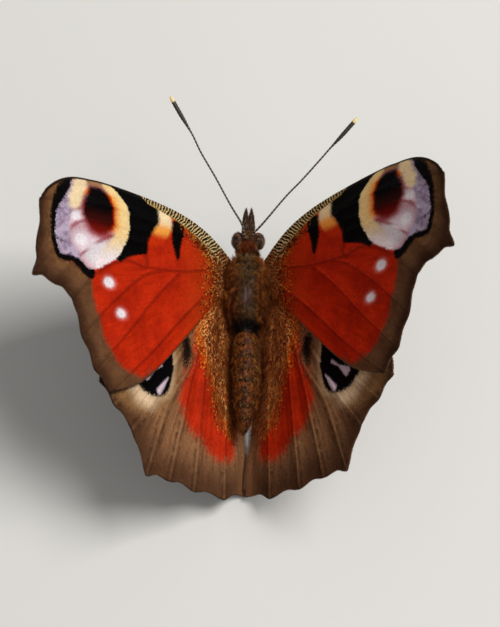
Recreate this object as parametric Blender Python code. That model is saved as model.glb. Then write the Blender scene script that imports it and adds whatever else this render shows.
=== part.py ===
"""Peacock butterfly, Aglais io, at life size, standing with its wings raised in a V.

Numbers are in millimetres until a mesh is made. The body frame has X to the butterfly's right, Y towards
its head and Z up from its back, with its origin in the middle of the thorax. A wing's own frame has X out
along the wing, Y forwards and Z up from its upper face, with its origin at the hinge."""

import math

import bmesh
import bpy
import numpy as np
from mathutils import Euler, Matrix, Vector
from mathutils.geometry import delaunay_2d_cdt

# Pose, in degrees and millimetres
BODY_PITCH = 10.0  # head up
BODY_YAW = -1.2  # head to the right
BODY_HEIGHT = 7.25  # middle of the thorax over the ground
FOREWING_RAISE = {"left": 49.0, "right": 51.0}
HINDWING_RAISE = {"left": 49.0, "right": 49.0}
FOREWING_SWING = {"left": -1.2, "right": 5.7}  # forwards
HINDWING_SWING = {"left": -1.2, "right": 2.2}

# Body
GAP = 0.3  # between nodes that meet
THORAX_FRONT = 4.0
THORAX_BACK = -3.9
THORAX_HALF_WIDTH = 2.33
THORAX_UP = 2.2
THORAX_DOWN = 2.3
ABDOMEN_LENGTH = 10.9
ABDOMEN_RADIUS = 1.38
ABDOMEN_SEGMENTS = 8
SEGMENT_LIP = 0.05  # each segment's rear edge over the next one
HEAD_FRONT = 6.9
HEAD_HALF_WIDTH = 1.25
EYE_CENTRE = (1.05, 5.8, 0.05)
EYE_RADII = (0.72, 0.95, 1.05)
EYE_FLAT = 0.8  # distance of an eye's inner face from the middle plane
PALP_RADIUS = 0.3
PROBOSCIS_RADIUS = 0.22
COIL_RADIUS = 0.95
COIL_TURNS = 1.35

# Wings
MEMBRANE = 0.46  # thickness between the veins
EDGE = 0.3  # thickness at the rim
FOREWING_HINGE = (2.2, 2.0, 0.45)
HINDWING_HINGE = (2.2, 0.5, -1.0)
POINT_SPACING = 2.4  # between the points inside a membrane
SCALLOP = 0.35  # depth of the margin between two vein ends
VEIN_HALF_WIDTH = (0.34, 0.2)  # at its root and at its end
VEIN_HEIGHT = (0.11, 0.05)
LEADING_EDGE_DROOP = 0.8
WING_CURL = 0.4  # rise of a forewing's tip over its plane

# Feelers and legs
ANTENNA_RADIUS = 0.25
CLUB_RADIUS = 0.36
FEMUR_RADIUS = 0.36
TIBIA_RADIUS = 0.27
TARSUS_RADIUS = 0.25
TARSUS_HEIGHT = 0.17  # of a tarsus's axis over the ground, less than its radius, so that it rests on a flat

MM = 0.001
SIDES = {"left": -1, "right": 1}
ANTENNA_AROUND = 10
LEG_AROUND = 8

# Colour and roughness of each finish
THORAX_FUR = ("5A3F22", 0.85)
HEAD_FUR = ("4A2E1C", 0.85)
ABDOMEN_FUR = ("33231A", 0.85)
PALP_FUR = ("2B1C14", 0.85)
EYE_FACETS = ("1C110C", 0.25)
CUTICLE = ("2A211C", 0.55)
LEG_SCALES = ("3A2A1E", 0.6)
FOREWING_SCALES = ("B02810", 0.75)
HINDWING_SCALES = ("6B4A2E", 0.75)

BODY_PLACE = (
    Matrix.Translation((0.0, 0.0, BODY_HEIGHT))
    @ Euler((math.radians(BODY_PITCH), 0.0, math.radians(BODY_YAW))).to_matrix().to_4x4()
)


def linear(hex_colour):
    """Blender's linear colour for an sRGB hex value."""
    values = [int(hex_colour[i : i + 2], 16) / 255 for i in (0, 2, 4)]
    return [v / 12.92 if v <= 0.04045 else ((v + 0.055) / 1.055) ** 2.4 for v in values] + [1.0]


def finish(name, look):
    colour, roughness = look
    material = bpy.data.materials.new(name)
    material.use_nodes = True
    shader = material.node_tree.nodes["Principled BSDF"]
    shader.inputs["Base Color"].default_value = linear(colour)
    shader.inputs["Roughness"].default_value = roughness
    shader.inputs["Metallic"].default_value = 0.0
    return material


def mesh_from(name, points, faces):
    """A mesh in metres from points in millimetres, with its faces turned outwards."""
    points = np.asarray(points, float)
    fans = [(f[0], f[i], f[i + 1]) for f in faces for i in range(1, len(f) - 1)]
    if sum(points[a] @ np.cross(points[b], points[c]) for a, b, c in fans) < 0:
        faces = [tuple(reversed(f)) for f in faces]
    mesh = bpy.data.meshes.new(name)
    mesh.from_pydata((points * MM).tolist(), [], faces)
    mesh.update()
    return mesh


def add_node(name, points, faces, look, parent):
    """One named object with a finish of its own."""
    mesh = mesh_from(name, points, faces)
    mesh.materials.append(finish(name, look))
    node = bpy.data.objects.new(name, mesh)
    node.parent = parent
    bpy.context.scene.collection.objects.link(node)
    return node


def keep_largest(mesh):
    """Drops every closed surface of the mesh but its largest."""
    work = bmesh.new()
    work.from_mesh(mesh)
    left, parts = set(work.verts), []
    while left:
        part, edge = set(), [left.pop()]
        while edge:
            vertex = edge.pop()
            part.add(vertex)
            found = {e.other_vert(vertex) for e in vertex.link_edges} & left
            left -= found
            edge.extend(found)
        parts.append(part)
    parts.sort(key=len)
    for part in parts[:-1]:
        bmesh.ops.delete(work, geom=list(part), context="VERTS")
    work.to_mesh(mesh)
    work.free()


def apply_boolean(node, operation, pieces):
    """Joins closed meshes to a node, or cuts them out of it, and removes them."""
    group = bpy.data.collections.new("pieces")
    bpy.context.scene.collection.children.link(group)
    for name, points, faces in pieces:
        piece = bpy.data.objects.new(name, mesh_from(name, points, faces))
        piece.parent = node.parent
        group.objects.link(piece)
    modifier = node.modifiers.new("pieces", "BOOLEAN")
    modifier.operation = operation
    modifier.operand_type = "COLLECTION"
    modifier.collection = group
    bpy.context.view_layer.update()
    made = bpy.data.meshes.new_from_object(node.evaluated_get(bpy.context.evaluated_depsgraph_get()))
    node.modifiers.clear()
    node.data = made
    for piece in list(group.objects):
        bpy.data.objects.remove(piece)
    bpy.data.collections.remove(group)
    keep_largest(made)


def curve_through(points, steps):
    """A smooth curve through the points, with so many steps between each pair."""
    p = np.asarray(points, float)
    p = np.vstack([2 * p[0] - p[1], p, 2 * p[-1] - p[-2]])
    t = np.linspace(0, 1, steps, endpoint=False)[:, None]
    made = []
    for a, b, c, d in zip(p, p[1:], p[2:], p[3:]):
        bend, turn = 2 * a - 5 * b + 4 * c - d, 3 * b - a - 3 * c + d
        made.append(b + 0.5 * ((c - a) * t + bend * t**2 + turn * t**3))
    return np.vstack([*made, p[-2:-1]])


def round_corners(points, reach):
    """The route with each corner cut by two points, this far before and after it."""
    p = np.asarray(points, float)
    made = [p[0]]
    for before, corner, after in zip(p, p[1:], p[2:]):
        for other in (before, after):
            share = min(0.45, reach / np.linalg.norm(other[:3] - corner[:3]))
            made.append(corner + (other - corner) * share)
    return np.array([*made, p[-1]])


def close_over(rings, start, end):
    """Points and faces of the closed surface over a row of rings, with one point at each end."""
    count, around = rings.shape[:2]
    points = np.vstack([rings.reshape(-1, 3), [start], [end]])
    faces = []
    for i in range(count - 1):
        for j in range(around):
            k = (j + 1) % around
            a, b, c, d = i * around + j, i * around + k, (i + 1) * around + k, (i + 1) * around + j
            faces += [(a, b, c), (a, c, d)]
    last = (count - 1) * around
    for j in range(around):
        k = (j + 1) % around
        faces += [(k, j, count * around), (last + j, last + k, count * around + 1)]
    return points, faces


def trunk(path, around):
    """A body section along Y from rows of y, half width, reach up, reach down and centre height."""
    angles = np.linspace(0, 2 * math.pi, around, endpoint=False)
    rings = []
    for y, wide, up, down, centre in path:
        reach = np.where(np.sin(angles) > 0, up, down)
        height = centre + reach * np.sin(angles)
        rings.append(np.stack([wide * np.cos(angles), np.full(around, y), height], 1))
    rings = np.array(rings)
    return close_over(rings, rings[0].mean(0), rings[-1].mean(0))


def tube(path, around, across=(0.0, 0.0, 1.0), tip=0.6):
    """A round tube along rows of x, y, z and radius. No stretch of it runs along the direction across."""
    path = np.asarray(path, float)
    middle, radii = path[:, :3], path[:, 3]
    ahead = np.gradient(middle, axis=0)
    ahead /= np.linalg.norm(ahead, axis=1)[:, None]
    side = np.cross(np.array(across), ahead)
    side /= np.linalg.norm(side, axis=1)[:, None]
    other = np.cross(ahead, side)
    angles = (np.arange(around) + 0.5) * 2 * math.pi / around
    ring = np.cos(angles)[:, None, None] * side + np.sin(angles)[:, None, None] * other
    rings = middle[:, None] + radii[:, None, None] * ring.transpose(1, 0, 2)
    return close_over(rings, middle[0], middle[-1] + ahead[-1] * radii[-1] * tip)


def ball(centre, radii, segments, rings):
    """A closed ellipsoid in bmesh."""
    work = bmesh.new()
    bmesh.ops.create_uvsphere(work, u_segments=segments, v_segments=rings, radius=1.0)
    for vertex in work.verts:
        vertex.co = Vector([c + r * v for c, r, v in zip(centre, radii, vertex.co)])
    return work


def cut_flat(work, at, mirror):
    """Cuts away what lies nearer the middle plane than this, and closes the cut."""
    geometry = [*work.verts, *work.edges, *work.faces]
    cut = bmesh.ops.bisect_plane(
        work, geom=geometry, plane_co=(at * mirror, 0, 0), plane_no=(-mirror, 0, 0), clear_outer=True
    )
    rim = [e for e in cut["geom_cut"] if isinstance(e, bmesh.types.BMEdge)]
    bmesh.ops.contextual_create(work, geom=rim)


def taken(work):
    """Points and faces of a bmesh, which is then freed."""
    bmesh.ops.triangulate(work, faces=work.faces[:])
    work.verts.index_update()
    points = [tuple(v.co) for v in work.verts]
    faces = [tuple(v.index for v in f.verts) for f in work.faces]
    work.free()
    return points, faces


# Thorax

THORAX_STATIONS = [
    (THORAX_FRONT, 0.85, 0.8, 0.85, 0.0),
    (THORAX_FRONT - 0.35, 1.15, 1.1, 1.2, 0.0),
    (THORAX_FRONT - 0.8, 1.45, 1.35, 1.6, 0.0),
    (2.2, THORAX_HALF_WIDTH * 0.9, THORAX_UP * 0.88, THORAX_DOWN * 0.94, 0.0),
    (0.8, THORAX_HALF_WIDTH, THORAX_UP, THORAX_DOWN, 0.0),
    (-1.0, THORAX_HALF_WIDTH * 0.96, THORAX_UP * 0.98, THORAX_DOWN * 0.96, 0.0),
    (-2.3, THORAX_HALF_WIDTH * 0.8, THORAX_UP * 0.82, THORAX_DOWN * 0.84, 0.0),
    (-3.2, THORAX_HALF_WIDTH * 0.56, THORAX_UP * 0.62, THORAX_DOWN * 0.6, 0.0),
    (THORAX_BACK, 0.75, 0.75, 0.75, 0.0),
]


def under_thorax(x, y):
    """A point on the thorax's underside and the direction straight out of it there."""
    path = curve_through(THORAX_STATIONS, 4)[::-1]
    wide, down = (np.interp(y, path[:, 0], path[:, k]) for k in (1, 3))
    z = -down * math.sqrt(1 - (x / wide) ** 2)
    return Vector((x, y, z)), Vector((x / wide**2, 0.0, z / down**2)).normalized()


def add_thorax(body):
    thorax = add_node("thorax", *trunk(curve_through(THORAX_STATIONS, 2), 22), THORAX_FUR, body)
    pieces = [("scutellum", *taken(ball((0, -2.5, 1.15), (1.0, 0.8, 0.88), 14, 8)))]
    for side, mirror in SIDES.items():
        tegula = ball((1.45 * mirror, 2.55, 0.75), (0.62, 1.05, 0.62), 12, 8)
        pieces.append((f"tegula_{side}", *taken(tegula)))
    apply_boolean(thorax, "UNION", pieces)
    return thorax


# Head

def head_section():
    back = THORAX_FRONT + GAP
    stations = [
        (back, 0.75, 0.75, 0.8, 0.0),
        (back + 0.45, HEAD_HALF_WIDTH, 1.1, 1.15, 0.0),
        (back + 1.4, HEAD_HALF_WIDTH + 0.1, 1.2, 1.25, 0.0),
        (HEAD_FRONT - 0.5, 1.0, 0.95, 1.1, -0.05),
        (HEAD_FRONT, 0.6, 0.5, 0.7, -0.1),
    ]
    return curve_through(stations, 3)


def eye_centre(mirror):
    return (EYE_CENTRE[0] * mirror, *EYE_CENTRE[1:])


def add_head(body):
    head = add_node("head", *trunk(head_section(), 20), HEAD_FUR, body)
    for side, mirror in SIDES.items():
        socket = ball(eye_centre(mirror), [r + GAP for r in EYE_RADII], 20, 14)
        cut_flat(socket, EYE_FLAT - GAP, mirror)
        apply_boolean(head, "DIFFERENCE", [(f"socket_{side}", *taken(socket))])
    return head


def add_eye(side, body):
    mirror = SIDES[side]
    work = ball(eye_centre(mirror), EYE_RADII, 20, 14)
    cut_flat(work, EYE_FLAT, mirror)
    return add_node(f"eye_{side}", *taken(work), EYE_FACETS, body)


def add_palp(side, body):
    """A palp curves forward and up from under the brow to a blunt tip."""
    m, r = SIDES[side], PALP_RADIUS
    root, middle = (0.5 * m, 7.22, -0.5, r * 0.8), (0.5 * m, 7.8, -0.4, r * 1.1)
    bend, tip = (0.47 * m, 8.6, -0.1, r), (0.4 * m, 9.3, 0.3, r * 0.4)
    return add_node(f"palp_{side}", *tube(curve_through([root, middle, bend, tip], 3), 10), PALP_FUR, body)


def add_proboscis(body):
    """The tongue drops from under the head and winds forward into its coil."""
    root_angle = math.radians(140)
    centre = np.array((0.0, 6.75, -2.35))
    path = []
    for t in np.linspace(0, 1, 18):
        angle = root_angle + 2 * math.pi * COIL_TURNS * t
        reach = COIL_RADIUS * (1 - 0.68 * t)
        place = centre + reach * np.array((0, math.cos(angle), math.sin(angle)))
        path.append((*place, PROBOSCIS_RADIUS * (1 - 0.4 * t)))
    return add_node("proboscis", *tube(path, 8, across=(1.0, 0.0, 0.0)), CUTICLE, body)


def add_abdomen(body):
    """Segments that taper to the tip, each ending in a low lip over the next."""
    front = THORAX_BACK - GAP
    shares = [0, 0.08, 0.25, 0.45, 0.65, 0.82, 0.95, 1]
    swell = [0.55, 0.8, 0.97, 1.0, 0.94, 0.74, 0.44, 0.2]
    path = []
    for i in range(ABDOMEN_SEGMENTS):
        lip = SEGMENT_LIP if i < ABDOMEN_SEGMENTS - 1 else 0.0
        for part, raised in ((0.0, 0.0), (0.45, 0.3), (0.92, 1.0)):
            share = (i + part) / ABDOMEN_SEGMENTS
            radius = ABDOMEN_RADIUS * np.interp(share, shares, swell) + lip * raised
            path.append((front - ABDOMEN_LENGTH * share, radius, radius, radius, 0.0))
    tip = ABDOMEN_RADIUS * swell[-1]
    path.append((front - ABDOMEN_LENGTH, tip, tip, tip, 0.0))
    return add_node("abdomen", *trunk(path, 20), ABDOMEN_FUR, body)


# Feelers

ANTENNA_ROUTES = {
    "left": [
        (-0.42, 6.1, 1.52), (-0.66, 7.2, 1.78), (-1.93, 9.2, 2.15), (-3.55, 12.0, 2.7), (-5.17, 14.6, 3.3),
    ],
    "right": [
        (0.42, 6.1, 1.52), (0.95, 6.65, 1.7), (1.85, 7.7, 1.9), (3.92, 10.2, 2.35), (5.6, 11.95, 2.75),
        (7.6, 14.2, 3.3),
    ],
}
ANTENNA_CLUBS = {
    "left": [(-6.1, 16.4, 3.7), (-7.23, 18.2, 4.1), (-8.0, 19.45, 4.4), (-8.48, 20.25, 4.6)],
    "right": [(8.55, 15.3, 3.55), (9.6, 16.45, 3.8), (10.65, 17.65, 4.05), (11.33, 18.4, 4.25)],
}


def add_antenna(side, body):
    """A slender shaft from the crown of the head, which swells into the club."""
    shaft = [(*p, ANTENNA_RADIUS) for p in ANTENNA_ROUTES[side]]
    swell = (ANTENNA_RADIUS, CLUB_RADIUS * 0.9, CLUB_RADIUS, CLUB_RADIUS * 0.6)
    club = [(*p, r) for p, r in zip(ANTENNA_CLUBS[side], swell)]
    return add_node(f"antenna_{side}", *tube(curve_through(shaft + club, 3), ANTENNA_AROUND), CUTICLE, body)


# Legs

LEG_ROOTS = {"fore": (0.75, 2.75), "mid": (0.95, 0.7), "hind": (0.9, -1.5)}  # x and y under the thorax
LEG_JOINTS = {
    "fore": [(1.5, 3.9, 4.75, TIBIA_RADIUS), (0.95, 5.3, 4.7, TARSUS_RADIUS * 0.7)],
    "mid": [
        (4.3, 2.3, 5.6, TIBIA_RADIUS * 1.1),
        (6.5, 3.4, TARSUS_HEIGHT, TARSUS_RADIUS),
        (9.0, 5.0, TARSUS_HEIGHT, TARSUS_RADIUS * 0.9),
    ],
    "hind": [
        (4.2, -4.2, 5.3, TIBIA_RADIUS * 1.1),
        (5.8, -7.6, TARSUS_HEIGHT, TARSUS_RADIUS),
        (7.2, -10.6, TARSUS_HEIGHT, TARSUS_RADIUS * 0.9),
    ],
}


def add_leg(pair, side, stance):
    """Coxa, femur, tibia and a tarsus that lies along the ground on a narrow flat."""
    mirror = SIDES[side]
    x, y = LEG_ROOTS[pair]
    point, out = under_thorax(x, y)
    radii = (TIBIA_RADIUS, FEMUR_RADIUS) if pair != "fore" else (TIBIA_RADIUS, TIBIA_RADIUS)
    route = []
    for reach, radius in zip((GAP + 0.1, GAP + 0.7), radii):
        place = point + out * reach
        place.x *= mirror
        route.append((*(BODY_PLACE @ place), radius))
    for x, y, z, radius in LEG_JOINTS[pair]:
        route.append((x * mirror, y, z, radius))
    points, faces = tube(curve_through(round_corners(route, 0.5), 2), LEG_AROUND)
    points[:, 2] = np.maximum(points[:, 2], 0.0)
    return add_node(f"leg_{pair}_{side}", points, faces, LEG_SCALES, stance)


# Wings

FOREWING_FRONT = [
    (0.6, 1.5), (1.3, 3.1), (3.3, 4.2), (6.0, 5.2), (9.0, 5.85), (13.5, 6.35), (18.5, 6.6), (22.5, 6.4),
    (25.2, 5.6), (27.3, 4.3), (28.6, 2.9),
]
FOREWING_ENDS = {
    "r4": (28.6, 2.9), "r5": (28.9, -1.4), "m1": (29.5, -5.1), "m2": (26.4, -5.4), "m3": (23.6, -6.5),
    "cu1": (22.1, -10.1), "cu2": (20.1, -13.3), "anal": (17.8, -15.3),
}
FOREWING_BACK = [(17.8, -15.3), (13.5, -14.1), (10.5, -11.9), (7.2, -8.7), (3.6, -5.2), (0.6, -1.9)]
FOREWING_VEINS = [
    [(1.2, 2.2), (5.0, 4.2), (9.5, 5.2), (15.0, 5.9)],
    [(1.0, 1.4), (6.5, 2.9), (12.0, 3.6), (17.0, 4.9), (22.0, 5.4)],
    [(12.0, 3.6), (20.0, 3.9), FOREWING_ENDS["r4"]],
    [(20.0, 3.9), (25.0, 1.9), FOREWING_ENDS["r5"]],
    [(12.0, 3.6), (13.0, 2.4), (21.3, 1.9), (25.0, -0.2), FOREWING_ENDS["m1"]],
    [(13.0, 2.4), (13.2, 1.0), (17.6, 1.0), (22.6, -2.0), FOREWING_ENDS["m2"]],
    [(13.2, 1.0), (12.6, -1.4), (15.5, -1.2), (19.5, -3.0), FOREWING_ENDS["m3"]],
    [(0.95, 0.4), (4.0, -0.2), (7.2, -0.9), (12.6, -1.4)],
    [(9.6, -1.1), (13.0, -2.4), (17.0, -5.5), FOREWING_ENDS["cu1"]],
    [(7.2, -0.9), (11.1, -4.4), (15.5, -9.0), FOREWING_ENDS["cu2"]],
    [(0.95, -1.0), (6.0, -5.0), (12.0, -10.6), FOREWING_ENDS["anal"]],
]
HINDWING_FRONT = [
    (0.95, 1.0), (4.0, 0.6), (8.0, -1.8), (12.5, -5.0), (16.5, -8.2), (19.0, -10.4), (19.5, -12.6),
]
HINDWING_ENDS = {
    "rs": (19.5, -12.6), "m1": (17.3, -14.7), "m2": (14.6, -16.9), "m3": (12.4, -21.4), "cu1": (8.9, -21.5),
    "cu2": (5.1, -22.1), "anal": (0.4, -22.4), "corner": (-2.75, -21.7),
}
HINDWING_BACK = [(-2.75, -21.7), (-2.75, -18.2), (-2.0, -14.8), (-1.6, -8.0), (-1.2, -5.0), (0.95, -2.4)]
HINDWING_VEINS = [
    [(1.3, 0.3), (6.0, -1.6), (12.0, -5.6), (17.0, -9.8)],
    [(1.2, -0.3), (5.2, -3.4), (12.0, -8.4), HINDWING_ENDS["rs"]],
    [(5.2, -3.4), (6.6, -5.2), (12.0, -10.6), HINDWING_ENDS["m1"]],
    [(6.6, -5.2), (6.9, -7.0), (11.0, -13.0), HINDWING_ENDS["m2"]],
    [(6.9, -7.0), (5.6, -8.6), (9.2, -13.6), HINDWING_ENDS["m3"]],
    [(1.2, -1.0), (3.4, -4.6), (5.6, -8.6)],
    [(4.6, -6.8), (6.4, -13.0), HINDWING_ENDS["cu1"]],
    [(3.4, -4.6), (3.7, -11.0), HINDWING_ENDS["cu2"]],
    [(1.0, -1.8), (0.6, -7.0), (0.2, -14.0), HINDWING_ENDS["anal"]],
]


def scalloped(ends, depth):
    """A wing margin through the vein ends, drawn in between each pair of them."""
    ends = np.asarray(ends, float)
    made = []
    for a, b in zip(ends, ends[1:]):
        along = b - a
        inwards = np.array([along[1], -along[0]]) / np.linalg.norm(along)
        for t in np.linspace(0, 1, 5, endpoint=False):
            made.append(a + along * t + inwards * depth * 0.5 * (1 - math.cos(2 * math.pi * t)))
    return made


def outline_of(front, ends, back):
    margin = scalloped(list(ends.values()), SCALLOP)
    return np.array([*curve_through(front, 2)[:-1], *margin, *curve_through(back, 2)])


def inside(point, outline):
    """True where the point lies within the closed outline."""
    x, y = point
    hit = False
    for (x0, y0), (x1, y1) in zip(outline, np.roll(outline, -1, 0)):
        if (y0 > y) != (y1 > y) and x < x0 + (y - y0) * (x1 - x0) / (y1 - y0):
            hit = not hit
    return hit


def distance_to(points, a, b):
    """How far each point lies from the stretch a to b, and where along it the nearest place is."""
    along = b - a
    share = np.clip((points - a) @ along / (along @ along), 0, 1)
    return np.linalg.norm(points - a - share[:, None] * along, axis=1), share


def vein_rows(veins):
    """Each vein as rows of x, y, half width and height, ending short of the rim."""
    made = []
    for route in veins:
        line = curve_through(route, 2 if len(route) > 3 else 3)
        line[-1] += (line[-2] - line[-1]) * 0.5 / np.linalg.norm(line[-2] - line[-1])
        wide, high = (np.linspace(*ends, len(line)) for ends in (VEIN_HALF_WIDTH, VEIN_HEIGHT))
        made.append(np.column_stack([line, wide, high]))
    return made


def ridge(points, rows):
    """How far the veins raise the membrane at each point."""
    raised = np.zeros(len(points))
    for row in rows:
        for a, b in zip(row, row[1:]):
            away, share = distance_to(points, a[:2], b[:2])
            wide, high = (a[k] + (b[k] - a[k]) * share for k in (2, 3))
            raised = np.maximum(raised, high * (1 - away / wide))
    return raised


def vein_lines(rows):
    """The crest of each vein and the two lines at its foot, as lists of points."""
    lines = []
    for row in rows:
        crest = row[:, :2]
        along = np.gradient(crest, axis=0)
        across = np.column_stack([-along[:, 1], along[:, 0]]) / np.linalg.norm(along, axis=1)[:, None]
        lines += [crest]
        for turn in (1, -1):
            foot = crest + turn * across * row[:, 2:3]
            lines.append(np.vstack([crest[:1], foot[1:-1], crest[-1:]]))
    return lines


def field_points(outline, rows):
    """Even points between the veins, clear of them and of the rim."""
    low, high = outline.min(0), outline.max(0)
    made = []
    for i, y in enumerate(np.arange(low[1], high[1], POINT_SPACING * 0.87)):
        for x in np.arange(low[0] + (i % 2) * POINT_SPACING / 2, high[0], POINT_SPACING):
            if inside((x, y), outline):
                made.append((x, y))
    made = np.array(made)
    near = np.full(len(made), np.inf)
    for line in [np.vstack([outline, outline[:1]]), *(row[:, :2] for row in rows)]:
        for a, b in zip(line, line[1:]):
            near = np.minimum(near, distance_to(made, a, b)[0])
    return made[near > POINT_SPACING * 0.35]


def vane(outline, veins, bend, mirror):
    """A thin membrane with its veins raised, split into the same triangles on both faces."""
    rows = vein_rows(veins)
    flat, edges = [*outline], []
    for line in vein_lines(rows):
        edges += [(len(flat) + i, len(flat) + i + 1) for i in range(len(line) - 1)]
        flat += [*line]
    flat += [*field_points(outline, rows)]
    rim = list(range(len(outline)))
    made, _, triangles, _, _, _ = delaunay_2d_cdt([Vector(p) for p in flat], edges, [rim], 1, 1e-3)
    flat = np.array(made)
    sides = {(a, b) for face in triangles for a, b in zip(face, face[1:] + face[:1])}
    border = [(a, b) for a, b in sides if (b, a) not in sides]
    half = MEMBRANE / 2 + ridge(flat, rows)
    half[[a for a, _ in border]] = EDGE / 2
    middle = bend(flat)
    count = len(flat)
    place = flat * (mirror, 1)
    points = np.vstack([np.column_stack([place, middle + half]), np.column_stack([place, middle - half])])
    faces = [tuple(f) for f in triangles] + [tuple(i + count for i in reversed(f)) for f in triangles]
    for a, b in sorted(border):
        faces += [(b, a, a + count), (b, a + count, b + count)]
    return points, faces


def forewing_bend(flat):
    """The tip curls up a little and the leading edge droops."""
    curl = WING_CURL * (flat[:, 0] / FOREWING_ENDS["m1"][0]) ** 2
    return curl - LEADING_EDGE_DROOP * np.clip((flat[:, 1] - 3.0) / 3.6, 0, 1) ** 2


def level(flat):
    return np.zeros(len(flat))


WINGS = {
    "forewing": (FOREWING_FRONT, FOREWING_ENDS, FOREWING_BACK, FOREWING_VEINS, forewing_bend),
    "hindwing": (HINDWING_FRONT, HINDWING_ENDS, HINDWING_BACK, HINDWING_VEINS, level),
}
WING_PLACES = {
    "forewing": (FOREWING_HINGE, FOREWING_RAISE, FOREWING_SWING, FOREWING_SCALES),
    "hindwing": (HINDWING_HINGE, HINDWING_RAISE, HINDWING_SWING, HINDWING_SCALES),
}


def add_wing(pair, side, body):
    mirror = SIDES[side]
    front, ends, back, veins, bend = WINGS[pair]
    hinge, rise, swing, look = WING_PLACES[pair]
    points, faces = vane(outline_of(front, ends, back), veins, bend, mirror)
    wing = add_node(f"{pair}_{side}", points, faces, look, body)
    wing.location = Vector((hinge[0] * mirror, hinge[1], hinge[2])) * MM
    wing.rotation_mode = "ZYX"
    wing.rotation_euler = (0.0, -mirror * math.radians(rise[side]), mirror * math.radians(swing[side]))
    return wing


# The whole insect

def clear_scene():
    for thing in list(bpy.data.objects):
        bpy.data.objects.remove(thing)


def empty(name, parent=None):
    axis = bpy.data.objects.new(name, None)
    axis.parent = parent
    bpy.context.scene.collection.objects.link(axis)
    return axis


def shade(nodes):
    for node in nodes:
        node.data.shade_smooth()
        node.data.set_sharp_from_angle(angle=math.radians(40))


def centre_on_ground(stance, nodes):
    """Moves the whole insect so that its box stands centred on the origin."""
    bpy.context.view_layer.update()
    corners = np.array([o.matrix_world @ v.co for o in nodes for v in o.data.vertices])
    low, high = corners.min(0), corners.max(0)
    stance.location = (-(low[0] + high[0]) / 2, -(low[1] + high[1]) / 2, -low[2])
    bpy.context.view_layer.update()


def build():
    clear_scene()
    stance = empty("stance")
    body = empty("body_axis", stance)
    body.location = (0.0, 0.0, BODY_HEIGHT * MM)
    body.rotation_euler = (math.radians(BODY_PITCH), 0.0, math.radians(BODY_YAW))
    add_thorax(body)
    add_head(body)
    add_abdomen(body)
    add_proboscis(body)
    for side in SIDES:
        add_eye(side, body)
        add_palp(side, body)
        add_antenna(side, body)
        for pair in WINGS:
            add_wing(pair, side, body)
        for pair in LEG_ROOTS:
            add_leg(pair, side, stance)
    nodes = [o for o in bpy.context.scene.objects if o.type == "MESH"]
    shade(nodes)
    centre_on_ground(stance, nodes)


build()
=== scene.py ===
"""Looks of a peacock butterfly, Aglais io, at life size: scaled wings, a coat of hair, eyes, feelers and legs.

Shapes are worked out in millimetres and turned to metres when a piece is made. A wing's own plane has X out
along the wing and Y forwards, from its hinge. The body's frame has X to the right, Y to the head and Z up, from
the middle of the thorax."""

import math

import bmesh
import bpy
import numpy as np
from mathutils import Euler, Matrix, Vector
from mathutils.geometry import delaunay_2d_cdt
from mathutils.kdtree import KDTree


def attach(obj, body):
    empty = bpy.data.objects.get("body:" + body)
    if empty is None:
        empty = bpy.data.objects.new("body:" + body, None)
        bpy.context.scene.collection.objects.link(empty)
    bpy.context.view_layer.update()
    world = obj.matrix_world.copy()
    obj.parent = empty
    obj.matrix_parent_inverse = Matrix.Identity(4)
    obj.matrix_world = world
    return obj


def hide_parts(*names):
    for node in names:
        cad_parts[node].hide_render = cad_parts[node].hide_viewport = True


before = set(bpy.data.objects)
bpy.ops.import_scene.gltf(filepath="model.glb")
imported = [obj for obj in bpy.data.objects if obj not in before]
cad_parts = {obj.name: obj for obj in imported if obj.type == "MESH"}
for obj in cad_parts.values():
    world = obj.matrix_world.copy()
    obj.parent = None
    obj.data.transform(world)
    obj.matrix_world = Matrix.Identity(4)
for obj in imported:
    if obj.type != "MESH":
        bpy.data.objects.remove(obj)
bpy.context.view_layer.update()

MM = 0.001
SIDES = {"left": -1, "right": 1}

# Pose, as the solids have it
BODY_PITCH = 10.0
BODY_YAW = -1.2
EYES_MIDDLE = np.array((0.0, 5.8, 0.05))  # between the two eyes, in the body's frame
RAISE = {"forewing": {"left": 49.0, "right": 51.0}, "hindwing": {"left": 49.0, "right": 49.0}}
SWING = {"forewing": {"left": -1.2, "right": 5.7}, "hindwing": {"left": -1.2, "right": 2.2}}
HINGE = {"forewing": (2.2, 2.0, 0.45), "hindwing": (2.2, 0.5, -1.0)}

# Wings
SHEET_HALF = 0.05  # half the membrane's thickness between the veins
RIM_HALF = 0.03
NET = 0.32  # spacing of the net of points
RIM_STEP = 0.2
SCALLOP = 0.42
PLEAT_DEPTH = 0.16  # of the folds between the veins
PLEAT_REACH = 1.5
VEIN_HALF_WIDTH = (0.26, 0.13)  # at its root and at its end
VEIN_HEIGHT = (0.085, 0.035)
LEADING_EDGE_DROOP = 0.8
WING_CURL = 0.4
INNER_EDGE_CURL = 0.3  # where the two hindwings meet behind the body
SHEET_SHIFT = {"forewing": -0.12, "hindwing": 0.12}  # brings the two wings of a side nearer where they overlap
COSTA_STRIPE = 0.42  # from one pale stripe of the leading edge to the next
FRINGE_STEP = 0.03

# Wing scales: a real one is 0.2 mm long and 0.1 wide, and they are drawn larger so that the rows show
SCALE_SIZE = {"upper": (0.31, 0.155), "under": (0.5, 0.27)}
SCALE_ROWS = {"upper": (0.163, 0.12), "under": (0.32, 0.22)}  # from row to row, and along a row
SCALE_OUTLINE = [(0.0, 0.0), (0.45, -0.5), (1.0, -0.32), (1.0, 0.32), (0.45, 0.5)]
SCALE_LIFT = [-0.02, 0.02, 0.05, 0.05, 0.02]
SCALE_KEEL = (0.4, 0.0, -0.04)  # the point under it that is sunk in the membrane
SCALES_FAN_FROM = {"forewing": (-4.0, 1.0), "hindwing": (0.0, 3.0)}
STREAK = (0.3, 5.0)  # width and length of the streaks that run with the rows

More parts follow.
